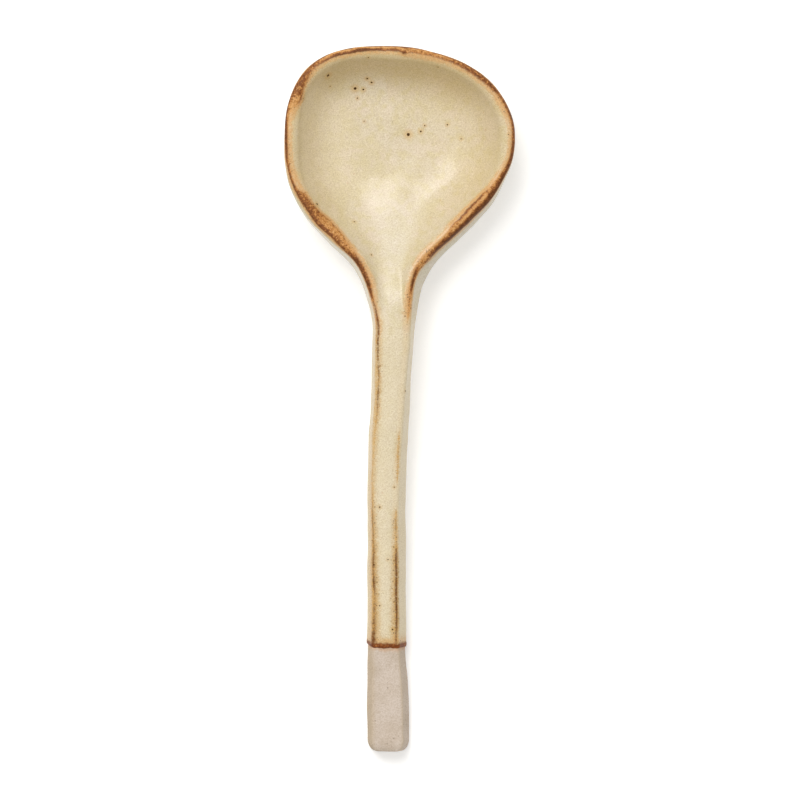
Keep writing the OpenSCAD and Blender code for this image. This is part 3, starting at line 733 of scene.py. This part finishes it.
def leaned(q, cols, weight):  # the scarf joint leans with height
    z = ring(q, cols)[..., 2]
    lean = spoon["scarfSlope"] * (z - neckTop + spoon["handleT"] / 2)
    return q + weight * lean / spoon["handleLen"]


def drawnIn(points, turn):  # the handle's end rounds off towards the middle of its section
    shrink = spoon["endR"] * (1 - np.sin(turn))[:, None]
    zero = np.array(0.0)
    middleX, middleZ = spine(zero)[0], (underZ(zero) + topZ(zero)) / 2
    rounded = points.copy()
    rounded[..., 0] = mix(middleX, points[..., 0], 1 - shrink / (spoon["handleW"] / 2))
    rounded[..., 2] = mix(middleZ, points[..., 2], 1 - shrink / spoon["handleT"])
    return rounded


ridge = {"inside": 0.6, "width": 0.7}  # a paler line along the bare end's right edge, in columns
farBelow = 99.0  # mm, how the middle of an end is marked


def clayBody(name, rows, weight, turn, toTip):  # solid clay, its open ends closed by a fan
    q, cols = np.tile(rows[:, None], len(ringCols)), np.tile(ringCols, (len(rows), 1))
    points = drawnIn(ring(leaned(q, cols, weight[:, None]), cols), turn)
    points = points + facing(points, toTip) * unevenness(points)[..., None]
    points[..., 2] = np.maximum(points[..., 2], 0)
    points = insideBox(points)
    below = spoon["bareLen"] + dipLift(cols) - q * spoon["handleLen"]
    worn = np.exp(-(((cols - rimOut + ridge["inside"]) / ridge["width"]) ** 2)) * (sideAt > 0)
    numbers = numbersOf(*cols.shape)
    fans = [(numbers.size, numbers[0, ::-1]), (numbers.size + 1, numbers[-1])][: 1 if toTip else 2]
    caps = [[middle, edge[k], edge[k + 1]] for middle, edge in fans for k in range(lastIndex)]
    middles = [points[0, :-1].mean(0), points[-1, :-1].mean(0)][: len(fans)]
    verts = np.concatenate([points.reshape(-1, 3), middles])
    marks = {"below": (below, farBelow, -farBelow), "ridge": (worn, 0.0, 0.0)}  # grid, fans' middles
    marks = {key: np.append(grid.ravel(), ends)[: len(verts)] for key, (grid, *ends) in marks.items()}
    return meshPiece(name, verts, quadsOf(numbers).tolist() + caps, marks)


scarf = {"leansFrom": 12.0, "leansTo": 1.06}  # mm below the joint, and the place where the rows stand upright
jointAt = spoon["handleLen"] - spoon["jointBack"]
endTurn = np.radians(90 * np.arange(sampling["endRows"] + 1) / sampling["endRows"])
endRows = spoon["endLong"] * (1 - np.cos(endTurn))
bodySteps = round((jointAt - spoon["endLong"]) / sampling["handleStep"])
bodyRows = np.linspace(spoon["endLong"], jointAt, bodySteps + 1)[1:]
handleRows = np.concatenate([endRows, bodyRows])
handleTurn = np.concatenate([endTurn, np.full(len(bodyRows), np.pi / 2)])
leanFrom = smooth(handleRows, jointAt - scarf["leansFrom"], jointAt)
handleClay = clayBody("handleClay", handleRows / spoon["handleLen"], leanFrom, handleTurn, False)
bowlStart = (jointAt + spoon["slipT"]) / spoon["handleLen"]
bowlRows = np.concatenate([np.linspace(bowlStart, 1, sampling["scarfRows"]), flareRows, tipRows])
leanTo = 1 - smooth(bowlRows, bowlStart, scarf["leansTo"])
bowlClay = clayBody("bowlClay", bowlRows, leanTo, np.full(len(bowlRows), np.pi / 2), True)
print("clay pieces made")


# Small helpers for building node trees
def isSocket(value):
    return isinstance(value, bpy.types.NodeSocket)


def wire(sockets, inputs):  # each input is a socket to link or a plain value
    for key, value in inputs.items() if isinstance(inputs, dict) else enumerate(inputs):
        if isSocket(value):
            value.id_data.links.new(value, sockets[key])
        else:
            sockets[key].default_value = value


def put(kind, inputs=(), tree=None, **settings):  # into the tree of its linked inputs, or the one given
    values = inputs.values() if isinstance(inputs, dict) else inputs
    tree = tree or next(value for value in values if isSocket(value)).id_data
    node = tree.nodes.new(kind)
    for key, value in settings.items():
        setattr(node, key, value)
    wire(node.inputs, inputs)
    return node


def calc(operation, *values):
    return put("ShaderNodeMath", values, operation=operation).outputs[0]


def times(a, b):
    return calc("MULTIPLY", a, b)


def scaled(value, factor, start):
    return calc("MULTIPLY_ADD", value, factor, start)


def swung(value, factor, start):  # a noise swings around its middle
    return scaled(calc("SUBTRACT", value, 0.5), factor, start)


def fade(value, low, high):  # 0 at low, 1 at high, smooth between
    inputs = (value, low, high, 0.0, 1.0)
    return put("ShaderNodeMapRange", inputs, interpolation_type="SMOOTHSTEP").outputs[0]


def tint(factor, first, second, how="MIX"):
    inputs = {0: factor, 6: first, 7: second}
    return put("ShaderNodeMix", inputs, data_type="RGBA", blend_type=how).outputs[2]


def noise(where, scale, detail=2.0, rough=0.5):
    inputs = {"Vector": where, "Scale": scale, "Detail": detail, "Roughness": rough}
    return put("ShaderNodeTexNoise", inputs).outputs[0]


def paint(code):  # a colour as written in a picture, made linear
    parts = [int(code[k : k + 2], 16) / 255 for k in (1, 3, 5)]
    linear = [p / 12.92 if p <= 0.04045 else ((p + 0.055) / 1.055) ** 2.4 for p in parts]
    return (*linear, 1.0)


def paints(codes):
    return {name: paint(code) for name, code in codes.items()}


def group(nodes, inputs):
    return put("ShaderNodeGroup", inputs, node_tree=nodes).outputs


socketTypes = {float: "Float", int: "Int", tuple: "Color"}


def newGroup(name, takes, gives, kind="ShaderNodeTree"):  # an input is a value, or a type where it has none
    tree = bpy.data.node_groups.new(name, kind)
    for label, value in takes.items():
        socketType = value if isinstance(value, str) else socketTypes[type(value)]
        socket = tree.interface.new_socket(label, in_out="INPUT", socket_type="NodeSocket" + socketType)
        if not isinstance(value, str):
            socket.default_value = value
    for label, socketType in gives.items():
        tree.interface.new_socket(label, in_out="OUTPUT", socket_type="NodeSocket" + socketType)
    return tree, tree.nodes.new("NodeGroupInput").outputs, tree.nodes.new("NodeGroupOutput").inputs


def buildGrain():  # fine grain of fired clay or glaze, shared by every material
    takes = {"Vector": "Vector", "Size": 0.5, "Contrast": 0.1}
    tree, given, made = newGroup("firedGrain", takes, {"Shade": "Color", "Height": "Float"})
    scale = calc("DIVIDE", 1.0, given["Size"])
    coarse = noise(given["Vector"], scale, 3.0, 0.6)
    fine = noise(given["Vector"], times(scale, 2.6), 2.0, 0.6)
    both = calc("ADD", times(coarse, 0.6), times(fine, 0.4))
    shade = swung(both, given["Contrast"], 1.0)
    warmer = [calc("POWER", shade, power) for power in (0.8, 1.0, 1.35)]
    wire(made, {"Shade": put("ShaderNodeCombineColor", warmer).outputs[0], "Height": both})
    return tree


def buildDots():  # sparse little dots, 1 in a dot
    takes = {"Vector": "Vector", "Spacing": 2.0, "Size": 0.12, "Share": 0.5}
    tree, given, made = newGroup("bodySpots", takes, {"Dots": "Float"})
    scale = calc("DIVIDE", 1.0, given["Spacing"])
    cells = put("ShaderNodeTexVoronoi", {"Vector": given["Vector"], "Scale": scale}).outputs
    parts = put("ShaderNodeSeparateColor", (cells["Color"],)).outputs
    size = times(times(given["Size"], scale), calc("ADD", parts[0], 0.5))
    spot = fade(cells["Distance"], size, times(size, 0.4))
    wire(made, {"Dots": times(spot, calc("LESS_THAN", parts[1], given["Share"]))})
    return tree


def buildStain():  # soft brown ring that an iron speck bleeds into the glaze
    takes = {"Vector": "Vector", "Place": "Vector", "Reach": 1.0, "Strength": 0.5, "Before": 0.0}
    tree, given, made = newGroup("speckStain", takes, {"Stain": "Float"})
    ends = (given["Vector"], given["Place"])
    gap = put("ShaderNodeVectorMath", ends, operation="DISTANCE").outputs["Value"]
    soft = fade(gap, given["Reach"], times(given["Reach"], 0.25))
    wire(made, {"Stain": calc("MAXIMUM", times(soft, given["Strength"]), given["Before"])})
    return tree


glazeLook = {
    "paints": {
        # The lighter cream and the pearl are painted light, and the khaki is pooled glaze and painted shade
        "Cream": "#e3d4b6", "Straw": "#decea4", "Blush": "#e7d6bc", "Khaki": "#d8be86",
        "Light": "#f3e2be", "Pearl": "#f3ead8", "Glow": "#dfbd7e", "Gold": "#d6b06c",
        "Ochre": "#dfa969", "Amber": "#c48545", "Rust": "#8c5327", "Chocolate": "#66380e",
        "Moss": "#6b4717",
    },
    "grain": {"Size": 0.32, "Contrast": 1.5},
    "spots": {"Spacing": 2.2, "Size": 0.2, "Share": 0.4},
    "pips": {"Spacing": 0.7, "Size": 0.22, "Share": 0.9},
    "cloudsPerMm": (0.11, 0.19, 0.5),
    "edgesPerMm": {"jag": 1.1, "fine": 2.4, "ragged": 0.6},
    "coatRough": 0.22,
    "shine": 0.2,
}
beadPaints = {"Amber": "#bd7438", "Rust": "#8e4a1c", "Chocolate": "#6c3009"}


def buildGlaze(grain, dots):  # cream glaze that breaks to ochre, rust and chocolate
    marks = {key.capitalize(): 0.0 for key in glazeMarks}
    takes = {"Vector": "Vector", **marks, "Stain": 0.0, **paints(glazeLook["paints"])}
    gives = {"Color": "Color", "Roughness": "Float", "Coat": "Float", "Height": "Float"}
    tree, given, made = newGroup("breakingGlaze", takes, gives)
    where, fleck, olive = given["Vector"], given["Fleck"], given["Olive"]
    shifted = put("ShaderNodeVectorMath", (where, (31.0, 17.0, 5.0)), operation="ADD").outputs[0]
    slowScale, otherScale, cloudScale = glazeLook["cloudsPerMm"]
    slow, other = noise(where, slowScale, 2.0), noise(shifted, otherScale, 3.0)
    cloud = noise(where, cloudScale, 2.0)
    body = tint(times(fade(slow, 0.38, 0.66), 0.7), given["Cream"], given["Straw"])
    body = tint(times(fade(other, 0.45, 0.7), 0.8), body, given["Blush"])
    body = tint(times(fade(cloud, 0.48, 0.66), 0.8), body, given["Straw"])
    body = tint(times(fade(cloud, 0.46, 0.3), 0.5), body, given["Blush"])
    # khaki: pooled glaze on the far walls, painted shade on the handle's bevels
    body = tint(times(given["Pool"], 0.85), body, given["Khaki"])
    # painted light, towards the lighter cream
    body = tint(times(given["Warm"], 0.7), body, given["Light"])
    # painted highlight and painted light, lightening towards pearl
    body = tint(given["Pale"], body, given["Pearl"])
    spots = group(dots, {"Vector": where, **glazeLook["spots"]})[0]
    body = tint(times(spots, 0.38), body, given["Amber"])
    body = tint(given["Stain"], body, given["Gold"])

    # The brown's edge wanders, most where the glaze is flecked
    edges = glazeLook["edgesPerMm"]
    jag = noise(where, edges["jag"], 5.0, 0.7)
    fine = noise(where, edges["fine"], 3.0, 0.65)
    ragged = noise(where, edges["ragged"], 4.0, 0.65)
    gap = swung(jag, scaled(fleck, 2.0, 0.4), given["Gap"])
    gap = swung(fine, scaled(olive, 1.3, 0.5), gap)
    soft = scaled(fleck, 0.5, 0.1)
    core = times(fade(gap, soft, times(soft, -1.0)), fade(given["Dark"], -0.35, 0.0))
    halo = fade(swung(ragged, 2.4, gap), given["Halo"], times(given["Halo"], 0.4))
    halo = times(times(halo, given["Strong"]), fade(calc("ADD", ragged, jag), 0.6, 1.1))
    glow = times(fade(gap, times(given["Halo"], 1.9), 0.2), given["Strong"])
    glowPaint = tint(olive, given["Glow"], given["Gold"])
    haloPaint = tint(times(olive, 0.7), given["Ochre"], given["Gold"])

    # Inside it the depth runs from ochre over amber and rust to chocolate
    depth = swung(fine, scaled(fleck, 1.2, 0.7), given["Dark"])
    depth = swung(jag, 2.0, depth)
    corePaint = tint(fade(depth, -0.05, 0.35), given["Ochre"], given["Amber"])
    corePaint = tint(fade(depth, 0.3, 0.62), corePaint, given["Rust"])
    corePaint = tint(fade(depth, 0.6, 1.0), corePaint, given["Chocolate"])
    mossPaint = tint(fade(depth, 0.0, 0.7), given["Gold"], given["Moss"])
    corePaint = tint(times(olive, 0.6), corePaint, mossPaint)
    pips = group(dots, {"Vector": where, **glazeLook["pips"]})[0]
    nearBrown = times(fade(gap, 1.2, 0.2), fade(fleck, 0.3, 0.9))
    body = tint(times(glow, scaled(olive, -0.15, 0.5)), body, glowPaint)
    body = tint(times(halo, scaled(olive, -0.2, 0.85)), body, haloPaint)
    body = tint(core, body, corePaint)
    body = tint(times(times(pips, nearBrown), 0.65), body, given["Chocolate"])
    grained = group(grain, {"Vector": where, **glazeLook["grain"]})
    patch, peel = noise(where, 0.3, 3.0), noise(where, 0.9, 2.0)
    wire(made, {
        "Color": tint(1.0, body, grained["Shade"], "MULTIPLY"),
        "Roughness": scaled(core, 0.15, swung(patch, 0.15, 0.4)),
        "Coat": scaled(core, -0.45, 0.5),
        "Height": scaled(core, -0.02, scaled(peel, 0.016, times(grained["Height"], 0.007))),
    })
    return tree


grainGroup = buildGrain()
dotsGroup = buildDots()
stainGroup = buildStain()
glazeGroup = buildGlaze(grainGroup, dotsGroup)


def newMaterial(name):  # a Principled material, its inputs, and its object coordinates in mm
    material = bpy.data.materials.new(name)
    material.use_nodes = True
    tree = material.node_tree
    objectAt = put("ShaderNodeTexCoord", tree=tree).outputs["Object"]
    inMm = put("ShaderNodeVectorMath", {0: objectAt, "Scale": 1 / mm}, operation="SCALE").outputs[0]
    return material, tree.nodes["Principled BSDF"].inputs, inMm


def readMark(where, key):
    return put("ShaderNodeAttribute", tree=where.id_data, attribute_name=key).outputs["Fac"]


def bumped(height):  # height in mm to the shader's normal
    return put("ShaderNodeBump", {"Height": height, "Distance": mm}).outputs[0]


speckStain = {"reach": 2.2, "least": 0.2, "byDark": 0.4}  # reach in the speck's own size


def glazeMaterial(name, stained=(), codes=None):  # stained: the places of specks that bleed into it
    material, surface, inMm = newMaterial(name)
    stain = 0.0
    for place, size, dark in stained:
        strength = speckStain["least"] + dark * speckStain["byDark"]
        inputs = {"Vector": inMm, "Place": place, "Reach": size * speckStain["reach"]}
        stain = group(stainGroup, {**inputs, "Strength": strength, "Before": stain})[0]
    marks = {key.capitalize(): readMark(inMm, key) for key in glazeMarks}
    glaze = group(glazeGroup, {"Vector": inMm, "Stain": stain, **marks, **paints(codes or {})})
    wire(surface, {
        "Base Color": glaze["Color"],
        "Roughness": glaze["Roughness"],
        "Coat Weight": glaze["Coat"],
        "Normal": bumped(glaze["Height"]),
        "Coat Roughness": glazeLook["coatRough"],
        "Specular IOR Level": glazeLook["shine"],
    })
    return material


# The camera hangs over the spoon as in the photograph
lens = {"focal": 250.0, "frameWidth": 204.6, "planeZ": 8.0, "aside": 0.08, "along": -0.1}
sight = (0.05, 20.0)  # metres: the nearest and farthest that the camera sees
camera = linked("camera", bpy.data.cameras.new("camera"))
camera.data.lens = lens["focal"]
camera.data.clip_start, camera.data.clip_end = sight
cameraZ = lens["planeZ"] + lens["frameWidth"] * lens["focal"] / camera.data.sensor_width
camera.location = Vector((lens["aside"], lens["along"], cameraZ)) * mm
bpy.context.scene.camera = camera

# Iron specks seen in the glaze: x and y in mm, diameter in mm, darkness
speckPlaces = [
    (-18.3, 82.9, 0.85, 1.0), (-11.4, 79.6, 0.85, 1.0), (2.2, 67.8, 0.9, 1.0),
    (-9.3, 79.3, 0.6, 0.7), (-8.3, 82.1, 0.6, 0.9), (-7.2, 81.1, 0.6, 0.9),
    (5.4, 68.6, 0.6, 0.7), (-21.1, 50.0, 0.7, 0.9), (-10.8, 77.1, 0.45, 0.6),
    (-17.8, 80.1, 0.4, 0.4), (-8.0, 87.5, 0.45, 0.5), (6.4, 70.1, 0.45, 0.6),
    (12.2, 70.3, 0.45, 0.7), (15.7, 66.7, 0.5, 0.3), (9.8, 85.0, 0.45, 0.35),
    (-9.1, 71.2, 0.4, 0.3), (-11.6, 45.5, 0.5, 0.35), (-7.2, 37.0, 0.4, 0.6),
    (27.8, 67.8, 0.4, 0.4), (1.5, 2.2, 0.45, 0.5), (-1.4, -22.4, 0.4, 0.6),
    (-5.1, -27.5, 0.5, 0.6), (-1.5, -37.7, 0.4, 0.6), (-3.0, -40.9, 0.45, 0.3),
    (-6.6, -42.2, 0.5, 0.6), (-6.6, -46.5, 0.4, 0.5), (-1.8, -58.8, 0.5, 1.0),
    (0.2, -61.7, 0.4, 0.6), (-5.1, -52.7, 0.5, 0.35),
]


def landSpecks():  # each place, seen from the camera, on the glaze that it sits in
    trees = []
    for piece in (topGlaze, rimGlaze, undersideGlaze, dipBead):
        corners = [v.co.copy() for v in piece.data.vertices]
        trees.append(BVHTree.FromPolygons(corners, [tuple(p.vertices) for p in piece.data.polygons]))
    landed = []
    for x, y, size, dark in speckPlaces:
        aim = Vector((x, y, lens["planeZ"])) * mm - camera.location
        hits = [tree.ray_cast(camera.location, aim.normalized()) for tree in trees]
        place, out, *rest = min([hit for hit in hits if hit[0] is not None], key=lambda hit: hit[3])
        landed.append((place, out, size, dark))
    return landed


specks = landSpecks()
print("specks placed:", len(specks))
stains = [(tuple(place / mm), size, dark) for place, out, size, dark in specks]
topGlaze.data.materials.append(glazeMaterial("creamGlazeInside", stains))
rimGlaze.data.materials.append(glazeMaterial("ironEdgeGlaze", stains))
undersideGlaze.data.materials.append(glazeMaterial("creamGlazeOutside"))
dipBead.data.materials.append(glazeMaterial("ironDipBead", codes=beadPaints))

clayLook = {
    "pale": "#e2d1c0",
    "deep": "#d7c5b1",
    "spot": "#866d52",
    "flash": "#dfb48c",
    "olive": "#c4ad88",
    "oliveFrom": (-5.6, -7.6),  # mm along x
    "ridge": "#ecd6b8",
    "grain": {"Size": 0.38, "Contrast": 1.25},
    "spots": {"Spacing": 1.4, "Size": 0.2, "Share": 0.5},
    "relief": 0.09,
    "shine": 0.3,
}
slipLook = {**clayLook, "pale": "#a89684", "deep": "#98877a"}


def clayMaterial(name, look, flash=False):
    material, surface, inMm = newMaterial(name)
    body = tint(fade(noise(inMm, 0.16, 3.0), 0.35, 0.68), paint(look["pale"]), paint(look["deep"]))
    grained = group(grainGroup, {"Vector": inMm, **look["grain"]})
    spots = group(dotsGroup, {"Vector": inMm, **look["spots"]})[0]
    body = tint(times(spots, 0.6), body, paint(look["spot"]))
    aside = put("ShaderNodeSeparateXYZ", (inMm,)).outputs[0]
    body = tint(times(fade(aside, *look["oliveFrom"]), 0.5), body, paint(look["olive"]))
    body = tint(times(readMark(inMm, "ridge"), 0.7), body, paint(look["ridge"]))
    if flash:  # the clay blushes orange just below the glaze line
        reach = scaled(noise(inMm, 0.9, 3.0), 1.2, readMark(inMm, "below"))
        body = tint(times(fade(reach, 1.9, 0.6), 0.7), body, paint(look["flash"]))
    wire(surface, {
        "Base Color": tint(1.0, body, grained["Shade"], "MULTIPLY"),
        "Roughness": scaled(grained["Height"], 0.15, 0.8),
        "Normal": bumped(times(grained["Height"], look["relief"])),
        "Specular IOR Level": look["shine"],
    })
    return material


handleClay.data.materials.append(clayMaterial("bareStoneware", clayLook, True))
bowlClay.data.materials.append(clayMaterial("footStoneware", clayLook))
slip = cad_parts["joint_slip"]
slip.data.materials.clear()
slip.data.materials.append(clayMaterial("jointSlip", slipLook))
print("materials made")

# Specks and sand grains are scattered by geometry nodes
speckLook = {
    "flatness": 0.12,
    "size": (0.58, 0.35),  # share of the stain's diameter, and what full darkness adds
    "paints": ("#3a2604", "#6a4412"),
    "patches": (4.0, 3.0, 0.35, 0.7),  # noise per mm, its detail, where it turns
    "rough": 0.5,
    "shine": 0.15,
    "relief": 0.02,
}
sandLook = {
    "perSquareMm": 0.7,
    "smallest": 0.09,
    "largest": 0.2,
    "clear": {"line": 0.6, "rest": 0.3, "end": 0.4},  # mm that stay without sand
    "seed": 11,
    "paints": ("#a8937c", "#e0d2c2"),
    "patches": (1.3, 2.0, 0.4, 0.6),
    "rough": 0.75,
    "shine": 0.5,
    "relief": 0.01,
}


def pipMaterial(name, look):
    material, surface, inMm = newMaterial(name)
    scale, detail, low, high = look["patches"]
    shade = noise(inMm, scale, detail, 0.6)
    wire(surface, {
        "Base Color": tint(fade(shade, low, high), *[paint(code) for code in look["paints"]]),
        "Roughness": look["rough"],
        "Specular IOR Level": look["shine"],
        "Normal": bumped(times(shade, look["relief"])),
    })
    return material


def asPiece(name, source, tree, inputs):  # runs a node tree on a mesh and keeps the result as a plain mesh
    carrier = linked(name + "Source", source)
    modifier = carrier.modifiers.new("nodes", "NODES")
    modifier.node_group = tree
    for item in tree.interface.items_tree:
        if item.item_type == "SOCKET" and item.in_out == "INPUT" and item.name in inputs:
            modifier[item.identifier] = inputs[item.name]
    graph = bpy.context.evaluated_depsgraph_get()
    mesh = bpy.data.meshes.new_from_object(carrier.evaluated_get(graph))
    mesh.name = name
    carrier.modifiers.remove(modifier)
    bpy.data.objects.remove(carrier)
    mesh.shade_smooth()
    return linked(name, mesh)


def scatterTree(name, takes):
    takes = {"Geometry": "Geometry", **takes, "Finish": "Material"}
    return newGroup(name, takes, {"Geometry": "Geometry"}, "GeometryNodeTree")


def named(tree, name, kind="FLOAT"):  # a mark on the mesh
    return put("GeometryNodeInputNamedAttribute", {"Name": name}, tree, data_type=kind).outputs[0]


def fillPoints(tree, given, made, detail, inputs):  # a pip on each point, realized and given its material
    pip = put("GeometryNodeMeshIcoSphere", {"Radius": 0.5, "Subdivisions": detail}, tree).outputs[0]
    placed = put("GeometryNodeInstanceOnPoints", {**inputs, "Instance": pip}).outputs[0]
    real = put("GeometryNodeRealizeInstances", (placed,)).outputs[0]
    ended = put("GeometryNodeSetMaterial", {"Geometry": real, "Material": given["Finish"]}).outputs[0]
    wire(made, {"Geometry": ended})
    return tree


def speckTree():  # flattened pips on points that carry a size and a direction
    tree, given, made = scatterTree("speckPips", {"Flatness": 0.22})
    size = named(tree, "size")
    out = named(tree, "out", "FLOAT_VECTOR")
    return fillPoints(tree, given, made, 2, {
        "Points": put("GeometryNodeMeshToPoints", (given["Geometry"],)).outputs[0],
        "Rotation": put("FunctionNodeAlignRotationToVector", {"Vector": out}, axis="Z").outputs[0],
        "Scale": put("ShaderNodeCombineXYZ", (size, size, times(size, given["Flatness"]))).outputs[0],
    })


def grainTree():  # sand grains scattered over the faces whose mark is 1
    takes = {"Density": 1.0, "Smallest": 0.1, "Largest": 0.2, "Seed": 7}
    tree, given, made = scatterTree("sandGrains", takes)
    density = times(named(tree, "sandy"), given["Density"])
    inputs = {"Mesh": given["Geometry"], "Density": density, "Seed": given["Seed"]}
    points = put("GeometryNodeDistributePointsOnFaces", inputs).outputs
    inputs = {2: given["Smallest"], 3: given["Largest"], "Seed": given["Seed"]}
    size = put("FunctionNodeRandomValue", inputs, data_type="FLOAT").outputs[1]
    inputs = {"Points": points[0], "Rotation": points["Rotation"], "Scale": size}
    return fillPoints(tree, given, made, 1, inputs)


def speckPoints():
    mesh = bpy.data.meshes.new("speckPoints")
    mesh.from_pydata([place for place, *rest in specks], [], [])
    least, byDark = speckLook["size"]
    writeLayer(mesh, "size", [size * mm * (least + byDark * dark) for place, out, size, dark in specks])
    outs = mesh.attributes.new("out", "FLOAT_VECTOR", "POINT")
    outs.data.foreach_set("vector", [part for place, out, *rest in specks for part in out])
    return mesh


def sandyMesh():  # copy of the handle's clay that marks where its sand shows
    mesh = handleClay.data.copy()
    at = np.empty(len(mesh.vertices) * 3, np.float32)
    mesh.vertices.foreach_get("co", at)
    at = at.reshape(-1, 3) / mm
    clear = sandLook["clear"]
    pastLine = readLayer(mesh, "below") > clear["line"]
    writeLayer(mesh, "sandy", pastLine & (at[:, 2] > clear["rest"]) & (at[:, 1] > endY + clear["end"]))
    return mesh


ironSpecks = asPiece("ironSpecks", speckPoints(), speckTree(), {
    "Flatness": speckLook["flatness"],
    "Finish": pipMaterial("ironSpeck", speckLook),
})
sandGrains = asPiece("sandGrains", sandyMesh(), grainTree(), {
    "Density": sandLook["perSquareMm"] / mm**2,
    "Smallest": sandLook["smallest"] * mm,
    "Largest": sandLook["largest"] * mm,
    "Seed": sandLook["seed"],
    "Finish": pipMaterial("sandGrain", sandLook),
})
print("specks and sand made:", len(ironSpecks.data.polygons), len(sandGrains.data.polygons))

# What each piece stands for in the frame
standIns = [
    (topGlaze, "cream_glaze", "top_glaze"),
    (undersideGlaze, "cream_glaze", "under_glaze"),
    (rimGlaze, "iron_glaze", "rim_band"),
    (dipBead, "iron_glaze", "dip_band"),
    (handleClay, "stoneware", "handle"),
    (bowlClay, "stoneware", "bowl"),
    (ironSpecks, "iron_glaze", None),
    (sandGrains, "stoneware", None),
]
for piece, slotName, node in standIns:
    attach(piece, "root")
    if node:
        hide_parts(node)


studio = {
    "floorSize": 3.0,
    "floorPaint": "#f4f3f0",
    "floorDrop": 0.02,  # mm below the spoon
    "floorLift": 0.4,
    "floorRough": 0.9,
    "floorShine": 0.1,
    "worldLight": 0.46,
    "keyPower": 23.4,
    "keyPlace": (-0.48, 0.96, 1.7),
    "keySize": 1.1,
}


def pureToView(tree):  # 1 for the rays that see the background itself
    path = put("ShaderNodeLightPath", tree=tree).outputs
    mirrored = calc("MAXIMUM", path["Is Glossy Ray"], path["Is Transmission Ray"])
    return calc("MAXIMUM", path["Is Camera Ray"], mirrored)


def makeFloor():
    half = studio["floorSize"] / 2
    corners = [(x * half, y * half, 0) for x, y in ((-1, -1), (1, -1), (1, 1), (-1, 1))]
    mesh = bpy.data.meshes.new("floor")
    mesh.from_pydata(corners, [], [(0, 1, 2, 3)])
    floor = linked("floor", mesh)
    floor.location.z = -studio["floorDrop"] * mm
    material, surface, inMm = newMaterial("paleFloor")
    wire(surface, {
        "Base Color": paint(studio["floorPaint"]),
        "Roughness": studio["floorRough"],
        "Specular IOR Level": studio["floorShine"],
        "Emission Color": (1, 1, 1, 1),
        "Emission Strength": times(pureToView(material.node_tree), studio["floorLift"]),
    })
    mesh.materials.append(material)


def makeLight():
    world = bpy.data.worlds.new("studio")
    bpy.context.scene.world = world
    world.use_nodes = True
    light = studio["worldLight"]
    strength = scaled(pureToView(world.node_tree), 1 - light, light)
    wire(world.node_tree.nodes["Background"].inputs, {"Color": (1, 1, 1, 1), "Strength": strength})
    key = linked("key", bpy.data.lights.new("key", "AREA"))
    key.data.shape = "SQUARE"
    key.data.size = studio["keySize"]
    key.data.energy = studio["keyPower"]
    key.location = studio["keyPlace"]
    key.rotation_euler = (-Vector(studio["keyPlace"])).to_track_quat("-Z", "Y").to_euler()


makeFloor()
makeLight()
bpy.context.scene.view_settings.view_transform = "Standard"
print("studio ready")
